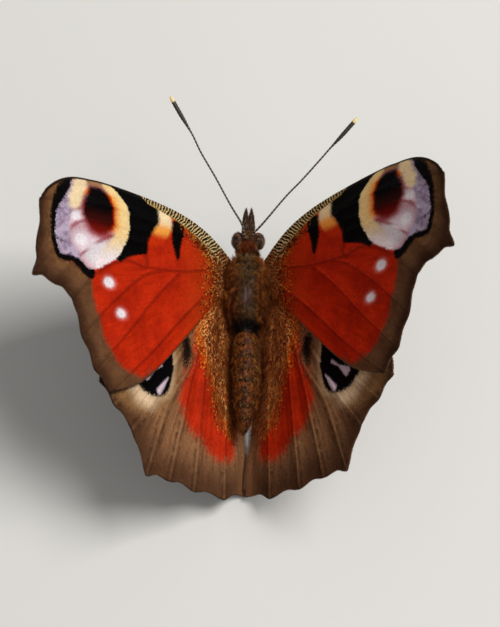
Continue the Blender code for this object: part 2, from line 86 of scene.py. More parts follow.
FOREWING_FRONT = [
    (-0.7, 1.9), (1.3, 3.1), (3.3, 4.2), (6.0, 5.2), (9.0, 5.85), (13.5, 6.35), (18.5, 6.6), (22.5, 6.4),
    (25.2, 5.6), (27.3, 4.3), (28.6, 2.9),
]
FOREWING_ENDS = [
    (28.6, 2.9), (28.9, -1.4), (29.5, -5.1), (26.4, -5.4), (23.6, -6.5), (22.1, -10.1), (20.1, -13.3),
    (17.8, -15.3),
]
FOREWING_BACK = [(17.8, -15.3), (13.4, -13.7), (10.4, -11.6), (7.2, -8.7), (3.6, -5.2), (1.0, -2.6), (-0.7, -1.2)]
FOREWING_VEINS = [
    [(1.2, 2.2), (5.0, 4.2), (9.5, 5.2), (15.0, 5.9), (19.5, 6.3)],
    [(1.0, 1.4), (6.5, 2.9), (12.0, 3.6), (17.0, 4.9), (22.0, 5.4), (25.6, 4.8)],
    [(12.0, 3.6), (20.0, 3.9), (28.6, 2.9)],
    [(20.0, 3.9), (25.0, 1.9), (28.9, -1.4)],
    [(12.0, 3.6), (13.0, 2.4), (21.3, 1.9), (25.0, -0.2), (29.5, -5.1)],
    [(13.0, 2.4), (13.2, 1.0), (17.6, 1.0), (22.6, -2.0), (26.4, -5.4)],
    [(13.2, 1.0), (12.6, -1.4), (15.5, -1.2), (19.5, -3.0), (23.6, -6.5)],
    [(0.95, 0.4), (4.0, -0.2), (7.2, -0.9), (12.6, -1.4)],
    [(9.6, -1.1), (13.0, -2.4), (17.0, -5.5), (22.1, -10.1)],
    [(7.2, -0.9), (11.1, -4.4), (15.5, -9.0), (20.1, -13.3)],
    [(0.95, -1.0), (6.0, -5.0), (12.0, -10.6), (17.8, -15.3)],
]
HINDWING_FRONT = [
    (-0.4, 0.9), (1.6, 1.0), (4.0, 0.6), (8.0, -1.8), (12.5, -5.0), (16.5, -8.2), (19.0, -10.4), (19.5, -12.6),
]
HINDWING_ENDS = [
    (19.5, -12.6), (17.3, -14.7), (14.6, -16.9), (12.4, -21.4), (8.9, -21.5), (5.1, -22.1), (0.4, -22.4),
    (-3.35, -21.6),
]
HINDWING_BACK = [
    (-3.35, -21.6), (-3.3, -19.8), (-3.05, -17.6), (-2.8, -15.8), (-2.4, -12.5), (-2.2, -8.0), (-2.1, -5.0),
    (-1.6, -3.0), (-0.8, -1.0),
]
HINDWING_VEINS = [
    [(1.3, 0.3), (6.0, -1.6), (12.0, -5.6), (17.0, -9.8)],
    [(1.2, -0.3), (5.2, -3.4), (12.0, -8.4), (19.5, -12.6)],
    [(5.2, -3.4), (6.6, -5.2), (12.0, -10.6), (17.3, -14.7)],
    [(6.6, -5.2), (6.9, -7.0), (11.0, -13.0), (14.6, -16.9)],
    [(6.9, -7.0), (5.6, -8.6), (9.2, -13.6), (12.4, -21.4)],
    [(1.2, -1.0), (3.4, -4.6), (5.6, -8.6)],
    [(4.6, -6.8), (6.4, -13.0), (8.9, -21.5)],
    [(3.4, -4.6), (3.7, -11.0), (5.1, -22.1)],
    [(1.0, -1.8), (0.6, -7.0), (0.2, -14.0), (0.4, -22.4)],
]

# Markings, each the outline of one patch of scales in the wing's plane
FOREWING_MARKS = {
    "bar": [
        (6.7, 4.9), (7.6, 4.7), (8.45, 3.8), (8.5, 2.6), (8.1, 1.5), (7.5, 0.3), (7.1, 0.7), (6.95, 1.8),
        (6.7, 3.0), (6.4, 4.0),
    ],
    "cream": [
        (10.3, 5.4), (8.9, 5.2), (8.4, 4.3), (8.7, 3.2), (9.3, 2.1), (10.2, 1.3), (12.0, 0.9), (12.0, 1.5),
        (11.3, 2.6), (10.4, 3.9),
    ],
    "blotch": [
        (18.0, 7.2), (14.0, 7.2), (11.6, 6.4), (9.9, 5.1), (10.1, 4.4), (10.9, 3.1), (11.7, 1.8), (12.2, 0.5),
        (12.5, 0.0), (13.9, -0.4), (15.3, -0.9), (16.9, -1.5), (17.4, 0.6), (17.3, 3.4),
    ],
    "crescent": [
        (21.0, 7.2), (23.4, 6.4), (25.0, 5.4), (26.0, 4.3), (26.6, 3.1), (26.85, 1.7), (26.85, 0.3),
        (26.6, -1.2), (26.1, -2.3), (25.0, -2.85), (23.6, -2.8), (22.6, -3.15), (21.6, -3.75), (20.9, -4.1),
        (20.2, -3.4), (20.0, 1.0),
    ],
    "border": [
        (21.0, 7.6), (23.0, 6.0), (24.8, 4.6), (26.0, 2.6), (26.2, 0.5), (25.8, -1.7), (24.4, -2.4),
        (22.4, -2.7), (20.9, -3.6), (20.4, -5.0), (19.9, -6.6), (19.2, -8.1), (18.4, -9.6), (17.2, -11.2),
        (15.2, -12.5), (12.6, -12.8), (11.0, -12.1), (11.0, -19.0), (33.0, -19.0), (33.0, 9.0),
    ],
    "eyespot": [
        (18.8, 6.6), (17.5, 6.35), (16.3, 5.6), (15.45, 4.6), (15.1, 3.5), (15.1, 1.9), (15.55, 0.6),
        (16.2, -0.5), (17.0, -1.3), (18.3, -2.1), (19.4, -2.7), (20.5, -3.0), (21.4, -2.85), (22.2, -2.4),
        (23.8, -2.15), (25.1, -2.15), (25.8, -1.4), (26.15, -0.3), (26.15, 1.0), (25.9, 2.2), (25.1, 3.4),
        (24.2, 4.5), (23.4, 5.7), (21.6, 6.6),
    ],
    "ring": [
        (19.2, 7.2), (17.0, 6.8), (14.6, 5.0), (14.3, 3.0), (14.8, 0.6), (16.4, -1.9), (18.2, -2.7),
        (19.6, -3.2), (20.0, -2.4), (19.3, -1.0), (18.3, 0.1), (17.4, 1.2), (17.1, 2.4), (17.05, 3.5),
        (17.4, 4.5), (18.2, 5.4), (19.1, 6.0),
    ],
    "pupil": [
        (20.8, 5.5), (19.9, 5.75), (18.9, 5.7), (18.15, 5.0), (17.65, 4.1), (17.5, 3.0), (17.6, 2.1),
        (18.1, 1.2), (19.2, 0.75), (20.4, 0.95), (21.3, 1.5), (21.8, 2.2), (22.1, 2.9), (22.0, 3.6),
        (21.6, 4.3), (21.1, 4.9),
    ],
    "cream_tip": [
        (22.5, 6.5), (20.9, 6.6), (20.7, 5.8), (21.3, 4.9), (21.9, 4.2), (22.5, 3.3), (23.3, 2.7),
        (24.2, 3.0), (24.2, 3.9), (23.6, 4.9), (23.1, 5.7),
    ],
    "lilac": [
        (23.4, 6.4), (25.2, 4.7), (26.8, 2.4), (27.2, 0.3), (26.6, -2.1), (24.9, -3.1), (22.6, -3.0),
        (22.4, -2.0), (23.0, -1.2), (23.8, -0.5), (24.0, 0.7), (23.9, 2.2), (23.4, 3.4), (23.4, 4.6),
    ],
    "brow": [(18.3, 7.6), (18.8, 6.0), (19.6, 5.85), (20.6, 5.8), (21.1, 6.3), (21.4, 7.6)],
}
FOREWING_SPOTS = [(23.2, 2.1, 0.46), (22.2, -0.2, 0.6), (17.9, -3.9, 0.52), (16.0, -6.8, 0.46)]
SPOT_SHAPE = 0.68  # a spot's height to its length out along the wing
FOREWING_NOTCHES = [  # dark lines between the lilac lobes: two ends and half the width
    ((26.6, 2.2), (24.6, 2.55), 0.13), ((26.5, -0.6), (24.6, -0.9), 0.17), ((25.2, -2.9), (23.7, -1.9), 0.08),
]
LINE_TAPER = 0.75  # share of its width that such a line loses by its second end
HINDWING_MARKS = {
    "red": [
        (5.6, -8.2), (6.7, -10.3), (7.4, -12.2), (7.1, -13.4), (6.4, -14.8), (5.4, -15.8), (4.0, -16.4),
        (2.9, -17.4), (1.3, -18.1), (-0.5, -17.9), (-1.3, -16.8), (-1.2, -13.0), (-0.8, -8.0), (-0.2, -3.0),
        (2.0, -1.5), (4.6, -4.2), (5.3, -6.4),
    ],
    "gold": [
        (-1.0, 0.8), (3.0, -0.2), (5.4, -3.2), (5.7, -5.2), (5.0, -7.2), (4.0, -9.0), (3.0, -11.0),
        (2.2, -13.4), (0.8, -15.4), (-1.2, -15.4), (-4.0, -9.0), (-4.0, 0.0),
    ],
    "dark_spot": [(7.1, -5.8), (6.0, -5.9), (5.6, -7.1), (5.9, -8.4), (6.5, -9.0), (6.9, -8.2), (7.2, -7.0)],
    "halo": [
        (7.6, -5.0), (7.7, -7.0), (7.5, -8.6), (7.7, -10.2), (8.1, -12.0), (9.0, -13.4), (10.8, -14.5),
        (13.2, -14.9), (15.6, -14.3), (17.6, -13.2), (18.4, -11.0), (14.0, -6.5), (9.0, -3.5),
    ],
    "eyespot": [
        (8.7, -7.4), (9.6, -6.6), (12.6, -8.8), (14.2, -10.7), (13.9, -11.7), (13.1, -12.3), (12.0, -12.7),
        (10.9, -12.85), (9.9, -12.6), (9.1, -12.0), (8.7, -11.0), (8.45, -9.8), (8.45, -8.6),
    ],
}
HINDWING_STREAKS = [  # two ends and half the width
    ((10.5, -12.2), (9.3, -10.75), 0.36), ((10.2, -9.4), (11.3, -10.05), 0.17), ((12.4, -10.8), (11.4, -10.15), 0.48),
]

# Body
TRUNK = [  # y, half width, reach up, reach down, height of the middle
    (6.82, 0.22, 0.2, 0.3, -0.15), (6.6, 0.62, 0.55, 0.75, -0.12), (6.0, 0.95, 0.9, 1.05, -0.05),
    (5.2, 1.15, 1.02, 1.12, 0.0), (4.7, 1.05, 0.95, 1.0, 0.0), (4.3, 0.85, 0.82, 0.85, 0.0),
    (3.9, 0.98, 0.95, 1.0, 0.0), (3.3, 1.4, 1.26, 1.35, 0.0), (2.2, 1.86, 1.62, 1.85, 0.0),
    (0.8, 1.96, 1.84, 1.98, 0.0), (-1.0, 1.9, 1.82, 1.9, 0.0), (-2.3, 1.6, 1.55, 1.62, 0.0),
    (-3.2, 1.2, 1.15, 1.2, 0.0), (-3.8, 0.92, 0.88, 0.9, 0.0), (-4.15, 0.86, 0.82, 0.84, 0.0),
    (-4.6, 1.0, 0.95, 0.96, 0.0), (-6.0, 1.2, 1.15, 1.15, 0.0), (-8.0, 1.27, 1.22, 1.22, 0.0),
    (-10.0, 1.22, 1.18, 1.18, 0.0), (-12.0, 1.02, 1.0, 1.0, 0.0), (-13.6, 0.7, 0.7, 0.7, 0.0),
    (-14.6, 0.38, 0.38, 0.4, 0.0), (-15.0, 0.15, 0.15, 0.15, 0.0),
]
TRUNK_AROUND = 112
TRUNK_STEPS = 11
ABDOMEN_FRONT = -4.3
SEGMENT = 1.32  # length of an abdomen segment
EYE_CENTRE = (1.05, 5.8, 0.05)
EYE_RADII = (0.72, 0.95, 1.05)
FACET = 0.1  # a facet is 0.03 mm wide, drawn coarser so that the eye's grain shows

# Finishes
PATCH = 0.003  # side of one hair's patch on the unwrap
CHITIN_IOR = 1.56  # of the horn-like stuff that all of an insect's scales, hairs and skin are made of
DRIFT = 2.2  # millimetres over which the tone of a wing drifts
WAVE = 0.6
PITS = 0.11  # of the skin
TONGUE_RING = 0.12

# Feelers, tongue, palps and legs
ANTENNA_SHAFT = 0.12
ANTENNA_CLUB = 0.23
ANTENNA_RING = 0.4  # from one pale ring to the next
ANTENNAE = {
    "left": [
        (-0.38, 5.9, 0.6), (-0.42, 6.1, 1.1), (-0.5, 6.4, 1.5), (-0.72, 7.3, 1.78), (-1.93, 9.2, 2.15), (-3.55, 12.0, 2.7),
        (-5.17, 14.6, 3.3), (-6.1, 16.4, 3.7), (-7.23, 18.2, 4.1), (-8.0, 19.45, 4.4), (-8.5, 20.3, 4.6),
    ],
    "right": [
        (0.38, 5.9, 0.6), (0.42, 6.1, 1.1), (0.62, 6.4, 1.5), (1.0, 6.75, 1.68), (1.85, 7.7, 1.9), (3.92, 10.2, 2.35),
        (5.6, 11.95, 2.75), (7.6, 14.2, 3.3), (8.55, 15.3, 3.55), (9.6, 16.45, 3.8), (10.65, 17.65, 4.05),
        (11.35, 18.45, 4.25),
    ],
}
MOUTH = (0.0, 6.5, -0.75)
COIL_CENTRE = (0.0, 6.75, -2.35)
COIL_RADIUS = 0.95
COIL_TURNS = 2.6
PROBOSCIS_RADIUS = 0.14
PALP = [(0.3, 6.2, -0.7), (0.31, 7.0, -0.55), (0.31, 7.7, -0.4), (0.3, 8.5, -0.1), (0.28, 9.3, 0.35)]
PALP_THICKNESS = ([0, 0.2, 0.5, 0.74, 1], [0.3, 0.36, 0.34, 0.25, 0.05])  # share of its length, and radius there
LEG_JOINTS = {  # from inside the thorax out, on the ground's own frame, with each joint's radius
    "fore": [(0.5, 3.0, 6.7, 0.2), (0.85, 3.55, 5.6, 0.2), (1.35, 3.85, 5.0, 0.2), (1.1, 4.6, 4.7, 0.15), (0.95, 5.3, 4.72, 0.08)],
    "mid": [
        (0.7, 0.75, 5.9, 0.28), (1.15, 0.95, 5.3, 0.28), (2.1, 1.35, 5.35, 0.3), (4.3, 2.3, 5.6, 0.18), (5.4, 2.85, 2.9, 0.15),
        (6.45, 3.35, 0.3, 0.13), (7.3, 3.9, 0.13, 0.12), (9.05, 5.05, 0.13, 0.09),
    ],
    "hind": [
        (0.6, -0.9, 5.7, 0.28), (1.05, -1.2, 5.1, 0.28), (2.0, -2.1, 5.2, 0.3), (4.2, -4.2, 5.3, 0.18), (5.0, -5.9, 2.8, 0.15),
        (5.75, -7.5, 0.3, 0.13), (6.2, -8.5, 0.13, 0.12), (7.25, -10.65, 0.13, 0.09),
    ],
}

# Framing: the whole view is 500 by 627, and the longer side takes the sensor's width
CAMERA_ELEVATION = 67.0
CAMERA_DISTANCE = 380.0
CAMERA_AIM = (0.318, -2.014)  # of the view's middle from the middle of the thorax, to the right and up
VIEW_HEIGHT = 66.5  # millimetres that the longer side takes in at the thorax
SENSOR = 36.0

BODY_TURN = np.array(Euler((math.radians(BODY_PITCH), 0.0, math.radians(BODY_YAW))).to_matrix())


def body_origin():
    """The middle of the thorax, worked out from the eyes, which sit evenly about EYES_MIDDLE."""
    eyes = [v.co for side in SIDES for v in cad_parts[f"eye_{side}"].data.vertices]
    turned = np.array(eyes) / MM @ BODY_TURN
    return BODY_TURN @ ((turned.min(0) + turned.max(0)) / 2 - EYES_MIDDLE)


BODY_AT = body_origin()


def from_body(points):
    """Points of the body's frame in the frame that the solids stand in."""
    return np.asarray(points, float) @ BODY_TURN.T + BODY_AT


def wing_turn(pair, side):
    mirror = SIDES[side]
    turn = (0.0, -mirror * math.radians(RAISE[pair][side]), mirror * math.radians(SWING[pair][side]))
    return np.array(Euler(turn, "ZYX").to_matrix())


def from_wing(pair, side, points):
    """Points of a wing's plane, given for a right wing, in the frame that the solids stand in."""
    mirror = np.array((SIDES[side], 1.0, 1.0))
    placed = np.asarray(points, float) * mirror @ wing_turn(pair, side).T + np.array(HINGE[pair]) * mirror
    return from_body(placed)


# Curves and distances

def curve_through(points, steps):
    """A smooth curve through the points, with so many steps between each pair."""
    p = np.asarray(points, float)
    p = np.vstack([2 * p[0] - p[1], p, 2 * p[-1] - p[-2]])
    t = np.linspace(0, 1, steps, endpoint=False)[:, None]
    made = []
    for a, b, c, d in zip(p, p[1:], p[2:], p[3:]):
        bend, turn = 2 * a - 5 * b + 4 * c - d, 3 * b - a - 3 * c + d
        made.append(b + 0.5 * ((c - a) * t + bend * t**2 + turn * t**3))
    return np.vstack([*made, p[-2:-1]])


def closed_curve(points, steps=6):
    """A smooth closed curve through the points."""
    p = np.asarray(points, float)
    return curve_through(np.vstack([p[-2:], p, p[:2]]), steps)[2 * steps : -steps - 1]


def even(line, step):
    """The line again with points at even steps."""
    line = np.asarray(line, float)
    run = np.concatenate([[0], np.cumsum(np.linalg.norm(np.diff(line, axis=0), axis=1))])
    at = np.linspace(0, run[-1], max(2, int(run[-1] / step) + 1))
    return np.column_stack([np.interp(at, run, line[:, k]) for k in range(line.shape[1])])


def nearest(points, line):
    """How far each point is from the line, and how far along the line its nearest place is."""
    best, where = np.full(len(points), np.inf), np.zeros(len(points))
    run = 0.0
    for a, b in zip(line, line[1:]):
        along = b - a
        size = np.linalg.norm(along)
        if size < 1e-9:
            continue
        share = np.clip((points - a) @ along / size**2, 0, 1)
        away = np.linalg.norm(points - a - share[:, None] * along, axis=1)
        closer = away < best
        best[closer], where[closer] = away[closer], (run + share * size)[closer]
        run += size
    return best, where


def inside(points, outline):
    x, y = points[:, 0], points[:, 1]
    hit = np.zeros(len(points), bool)
    for (x0, y0), (x1, y1) in zip(outline, np.roll(outline, -1, 0)):
        if y0 != y1:
            hit ^= ((y0 > y) != (y1 > y)) & (x < x0 + (y - y0) * (x1 - x0) / (y1 - y0))
    return hit


def signed_distance(points, outline):
    """Millimetres from the closed outline, negative inside it."""
    away = nearest(points, np.vstack([outline, outline[:1]]))[0]
    return np.where(inside(points, outline), -away, away)


def smooth(low, high, value):
    t = np.clip((value - low) / (high - low), 0, 1)
    return t * t * (3 - 2 * t)


# Making pieces

def linear(hex_colour):
    """Blender's linear colour for an sRGB hex value."""
    values = [int(hex_colour[i : i + 2], 16) / 255 for i in (0, 2, 4)]
    return [v / 12.92 if v <= 0.04045 else ((v + 0.055) / 1.055) ** 2.4 for v in values] + [1.0]


def make_piece(name, points, triangles, finishes, replaced=(), fields=None, uv=None, which=None,
               faceted=False):
    """One mesh on the insect from points in millimetres. fields are numbers carried by each point, uv the
    place of each point on the unwrapped surface, and which the finish of each triangle."""
    points, triangles = np.asarray(points, np.float32), np.asarray(triangles, np.int32)
    mesh = bpy.data.meshes.new(name)
    mesh.vertices.add(len(points))
    mesh.vertices.foreach_set("co", (points * MM).ravel())
    mesh.loops.add(triangles.size)
    mesh.loops.foreach_set("vertex_index", triangles.ravel())
    mesh.polygons.add(len(triangles))
    mesh.polygons.foreach_set("loop_start", np.arange(0, triangles.size, 3, dtype=np.int32))
    mesh.polygons.foreach_set("use_smooth", np.full(len(triangles), not faceted))
    for material in finishes:
        mesh.materials.append(material)
    if which is not None:
        mesh.polygons.foreach_set("material_index", np.asarray(which, np.int32))
    for field, values in (fields or {}).items():
        values = np.asarray(values, np.float32)
        kind, part = ("FLOAT_VECTOR", "vector") if values.ndim == 2 else ("FLOAT", "value")
        mesh.attributes.new(field, kind, "POINT").data.foreach_set(part, values.ravel())
    if uv is not None:
        layer = mesh.uv_layers.new(name="OFBake")
        layer.data.foreach_set("uv", np.asarray(uv, np.float32)[triangles.ravel()].ravel())
    mesh.update()
    mesh.validate()
    piece = bpy.data.objects.new(name, mesh)
    bpy.context.scene.collection.objects.link(piece)
    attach(piece, "root")
    if replaced:
        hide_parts(*replaced)
    return piece


def tube(path, radii, around, across=(0.0, 0.0, 1.0)):
    """A round tube along the path, closed by a point at each end: points, triangles and the run at each point."""
    path, radii = np.asarray(path, float), np.asarray(radii, float)
    ahead = np.gradient(path, axis=0)
    ahead /= np.linalg.norm(ahead, axis=1)[:, None]
    side = np.cross(np.array(across), ahead)
    side /= np.linalg.norm(side, axis=1)[:, None]
    other = np.cross(ahead, side)
    angles = np.arange(around) * 2 * math.pi / around
    ring = np.cos(angles)[:, None, None] * side + np.sin(angles)[:, None, None] * other
    rings = path[:, None] + radii[:, None, None] * ring.transpose(1, 0, 2)
    run = np.concatenate([[0], np.cumsum(np.linalg.norm(np.diff(path, axis=0), axis=1))])
    points, triangles = closed_rings(rings, path[0], path[-1] + ahead[-1] * radii[-1] * 0.5)
    return points, triangles, np.concatenate([np.repeat(run, around), [0, run[-1]]])


def closed_rings(rings, start, end):
    """Points and triangles of the closed surface over a row of rings, with one point at each end."""
    count, around = rings.shape[:2]
    i, j = (a.ravel() for a in np.meshgrid(np.arange(count - 1), np.arange(around), indexing="ij"))
    a, b = i * around + j, i * around + (j + 1) % around
    body = np.column_stack([a, b, b + around, a, b + around, a + around]).reshape(-1, 3)
    k = np.arange(around)
    n, last = (k + 1) % around, (count - 1) * around
    caps = [
        np.column_stack([n, k, np.full(around, count * around)]),
        np.column_stack([last + k, last + n, np.full(around, count * around + 1)]),
    ]
    return np.vstack([rings.reshape(-1, 3), [start], [end]]), np.vstack([body, *caps])


def tube_uv(run, around):
    """A tube's wall laid flat, along it and round it."""
    rings = (len(run) - 2) // around
    round_it = np.append(np.tile(np.linspace(0.05, 0.95, around), rings), [0.5, 0.5])
    return np.column_stack([0.02 + 0.96 * run / run.max(), round_it])


def turned_out(points, triangles):
    """The triangles, all turned round if they face inwards."""
    a, b, c = (points[triangles[:, k]] for k in range(3))
    return triangles if np.einsum("ij,ij->", a, np.cross(b, c)) > 0 else triangles[:, ::-1]


def joined(parts):
    """Several (points, triangles, fields) as one."""
    points, triangles, start = [], [], 0
    for p, t, _ in parts:
        points.append(p)
        triangles.append(t + start)
        start += len(p)
    fields = {k: np.concatenate([f[k] for _, _, f in parts]) for k in parts[0][2]}
    return np.vstack(points), np.vstack(triangles), fields


# Hair

def scatter(rng, points, triangles, count, weight):
    """Places spread over the triangles by area and by the weight at each point: which triangle, and its shares."""
    a, b, c = (points[triangles[:, k]] for k in range(3))
    area = np.linalg.norm(np.cross(b - a, c - a), axis=1) * weight[triangles].mean(1)
    chosen = np.searchsorted(np.cumsum(area) / area.sum(), rng.random(count))
    u, v = rng.random(count), rng.random(count)
    over = u + v > 1
    u[over], v[over] = 1 - u[over], 1 - v[over]
    return triangles[chosen], np.column_stack([1 - u - v, u, v])


def at_shares(values, corners, shares):
    values = np.asarray(values, float)
    if values.ndim == 1:
        return (values[corners] * shares).sum(1)
    return (values[corners] * shares[:, :, None]).sum(1)


def hairs(rng, roots, normals, lie, length, width, lift, settle, steps=2):
    """Solid three-sided hairs that taper to a point and bend over from lift to settle, in radians above the
    surface. Returns points, triangles, the shares along and round each hair and its number, for each point."""
    count = len(roots)
    tangent = lie - normals * np.einsum("ij,ij->i", lie, normals)[:, None]
    tangent /= np.maximum(np.linalg.norm(tangent, axis=1), 1e-6)[:, None]
    lift, settle = (np.broadcast_to(v, count)[:, None] for v in (lift, settle))
    start = tangent * np.cos(lift) + normals * np.sin(lift)
    end = tangent * np.cos(settle) + normals * np.sin(settle)
    t = np.append(np.arange(steps) / steps, 1.0)[None, :, None]
    middle = roots[:, None] + length[:, None, None] * (start[:, None] * (t - t**2 / 2) + end[:, None] * t**2 / 2)
    side = np.cross(tangent, normals)
    roll = rng.uniform(-0.6, 0.6, count)[:, None]
    side = side * np.cos(roll) + normals * np.sin(roll)
    flat = np.cross(side, tangent)
    taper = (1 - 0.75 * t[:, :-1] ** 1.5) * width[:, None, None] / 2
    ring = []
    for angle in (0.5, 2.6, 4.7):
        ring.append(middle[:, :-1] + taper * (side[:, None] * math.cos(angle) + 0.5 * flat[:, None] * math.sin(angle)))
    rings = np.stack(ring, 2).reshape(count, steps * 3, 3)
    points = np.concatenate([rings, middle[:, -1:]], 1)
    one = [(0, 2, 1)]
    for s in range(steps - 1):
        for k in range(3):
            a, b = 3 * s + k, 3 * s + (k + 1) % 3
            one += [(a, b, b + 3), (a, b + 3, a + 3)]
    last = 3 * (steps - 1)
    one += [(last + k, last + (k + 1) % 3, last + 3) for k in range(3)]
    each = 3 * steps + 1
    triangles = (np.arange(count)[:, None, None] * each + np.array(one)[None]).reshape(-1, 3)
    first = points[0, np.array(one)]
    if np.einsum("ij,ij->", first[:, 0] - roots[0], np.cross(first[:, 1] - roots[0], first[:, 2] - roots[0])) < 0:
        triangles = triangles[:, ::-1]
    along = np.append(np.repeat(np.arange(steps) / steps, 3), 1.0)
    round_it = np.append(np.tile((0.0, 0.5, 1.0), steps), 0.5)
    spread = np.tile(np.column_stack([along, round_it]), (count, 1))
    return points.reshape(-1, 3), triangles, spread, np.repeat(np.arange(count), each)


def in_clumps(rng, roots, size):
    """Gathers hairs by the nearest of some of their own roots, so many to a clump on average."""
    centres = roots[rng.choice(len(roots), max(1, len(roots) // size), replace=False)]
    tree = KDTree(len(centres))
    for i, centre in enumerate(centres):
        tree.insert(centre, i)
    tree.balance()
    owner = np.array([tree.find(root)[1] for root in roots])
    return centres[owner], owner, len(centres)


def surface_of(points, triangles, place, uv, turn):
    """What a coat needs to know of the surface that it grows on."""
    normals = point_normals(points, triangles)
    return {"points": points, "triangles": triangles, "normals": normals, "place": place, "uv": uv, "turn": turn}


def coat(name, rng, count, surface, weight, lie, length, width, rise, finish, steps=2, sink=0.06, clump=24):
    """A coat of hair rooted on a surface, in loose clumps whose tips draw together. lie and length are given for
    each root from its place in the surface's frame, and rise is the angle above the skin at root and tip."""
    corners, shares = scatter(rng, surface["points"], surface["triangles"], count, weight)
    roots, normals, place, uv = (
        at_shares(surface[k], corners, shares) for k in ("points", "normals", "place", "uv")
    )
    normals /= np.linalg.norm(normals, axis=1)[:, None]
    centres, clump_of, clumps = in_clumps(rng, roots, clump)
    way = lie(place)
    way = way / np.linalg.norm(way, axis=1)[:, None]
    way = way + rng.normal(0, 0.16, (count, 3)) + rng.normal(0, 0.42, (clumps, 3))[clump_of]
    size = length(place) * rng.uniform(0.65, 1.2, count) * rng.uniform(0.75, 1.2, clumps)[clump_of]
    way = way @ surface["turn"].T + (centres - roots) * 0.7 / size[:, None]
    lift = rise[0] + rng.normal(0, 0.12, count) + rng.normal(0, 0.16, clumps)[clump_of]
    wide = width * rng.uniform(0.75, 1.25, count)
    roots = roots - normals * sink
    points, triangles, spread, owner = hairs(rng, roots, normals, way, size, wide, lift, rise[1], steps)
    points[:, 2] = np.maximum(points[:, 2], 0.0)
    tone = np.clip(0.5 + 1.4 * (0.62 * rng.random(clumps)[clump_of] + 0.38 * rng.random(count) - 0.5), 0, 1)
    luck = rng.random(count)
    fields = {"along": spread[:, 0], "tone": tone[owner], "luck": luck[owner], "place": place[owner]}
    return make_piece(name, points, triangles, [finish], fields=fields, uv=uv[owner] + PATCH * spread)


# Finishes

def new_finish(name, roughness, gloss):
    """A material of bare chitin, its tree and its shader."""
    material = bpy.data.materials.new(name)
    material.use_nodes = True
    shader = material.node_tree.nodes["Principled BSDF"]
    shader.inputs["IOR"].default_value = CHITIN_IOR
    shader.inputs["Roughness"].default_value = roughness
    shader.inputs["Specular IOR Level"].default_value = gloss
    return material, material.node_tree, shader


def put(tree, kind, settings, links):
    """Adds one node. settings are its own values, links its inputs: each a number, a colour or a socket."""
    made = tree.nodes.new(kind)
    for name, value in settings.items():
        setattr(made, name, value)
    for name, value in links.items():
        if isinstance(value, bpy.types.NodeSocket):
            tree.links.new(value, made.inputs[name])
        else:
            made.inputs[name].default_value = value
    return made


def paint(tree, below, above, *windows, most=1.0):
    """Lays one colour over another where every window is open. A window is a field that the mesh carries, or a
    socket, then its value where the colour starts to show and the one where it is full."""
    share = most
    for field, shut, full in windows:
        if isinstance(field, str):
            field = put(tree, "ShaderNodeAttribute", {"attribute_name": field}, {}).outputs["Fac"]
        links = {"Value": field, "From Min": shut, "From Max": full, "To Max": share}
        share = put(tree, "ShaderNodeMapRange", {"interpolation_type": "SMOOTHSTEP"}, links).outputs["Result"]
    below, above = (linear(c) if isinstance(c, str) else c for c in (below, above))
    return put(tree, "ShaderNodeMix", {"data_type": "RGBA"}, {0: share, 6: below, 7: above}).outputs[2]


def mark(tree, below, above, field, soft=0.07, ragged=0.16):
    """Lays a marking over what is below, its edge broken up by single scales."""
    tone = put(tree, "ShaderNodeAttribute", {"attribute_name": "tone"}, {}).outputs["Fac"]
    edge = put(tree, "ShaderNodeAttribute", {"attribute_name": field}, {}).outputs["Fac"]
    broken = put(tree, "ShaderNodeMath", {"operation": "MULTIPLY_ADD"}, {0: tone, 1: ragged, 2: edge}).outputs[0]
    return paint(tree, below, above, (broken, ragged / 2 + soft, ragged / 2 - soft))


def colour_by(tree, shader, colour, field, low, high):
    """Gives the shader its colour, made darker or lighter by a field: by scale, or from a hair's root to its tip."""
    value = put(tree, "ShaderNodeAttribute", {"attribute_name": field}, {}).outputs["Fac"]
    shade = put(tree, "ShaderNodeMapRange", {}, {"Value": value, "To Min": low, "To Max": high}).outputs["Result"]
    tinted = put(tree, "ShaderNodeVectorMath", {"operation": "SCALE"}, {0: colour, "Scale": shade}).outputs[0]
    tree.links.new(tinted, shader.inputs["Base Color"])


def wing_drifts(tree):
    """Each scale's place on its wing, with slow and fine drifts of tone and streaks that run with the rows."""
    net = put(tree, "ShaderNodeAttribute", {"attribute_name": "net"}, {}).outputs["Vector"]
    fan = put(tree, "ShaderNodeAttribute", {"attribute_name": "fan"}, {}).outputs["Vector"]
    where = put(tree, "ShaderNodeSeparateXYZ", {}, {"Vector": net}).outputs
    made = {"net": net, "x": where["X"], "y": where["Y"]}
    for name, vector, size in (("drift", net, DRIFT), ("wave", net, WAVE), ("streak", fan, 1.0)):
        links = {"Vector": vector, "Scale": 1 / size, "Detail": 3.0}
        made[name] = put(tree, "ShaderNodeTexNoise", {}, links).outputs["Fac"]
    return made


def speckled(tree, below, rust, gold, cream, dark, dark_share):
    """Single pale scales among dark ones on a rust ground, thickest and palest by the body."""
    share = put(tree, "ShaderNodeAttribute", {"attribute_name": "speckle"}, {}).outputs["Fac"]
    tone = put(tree, "ShaderNodeAttribute", {"attribute_name": "tone"}, {}).outputs["Fac"]
    spare = put(tree, "ShaderNodeMath", {"operation": "MULTIPLY_ADD"}, {0: share, 1: -0.8, 2: tone}).outputs[0]
    pale = paint(tree, gold, cream, (share, 0.55, 1.0))
    grain = paint(tree, dark, pale, ("luck", dark_share, dark_share + 0.05))
    ground = paint(tree, below, rust, (share, 0.1, 0.9))
    return paint(tree, ground, grain, (spare, -0.01, -0.03))


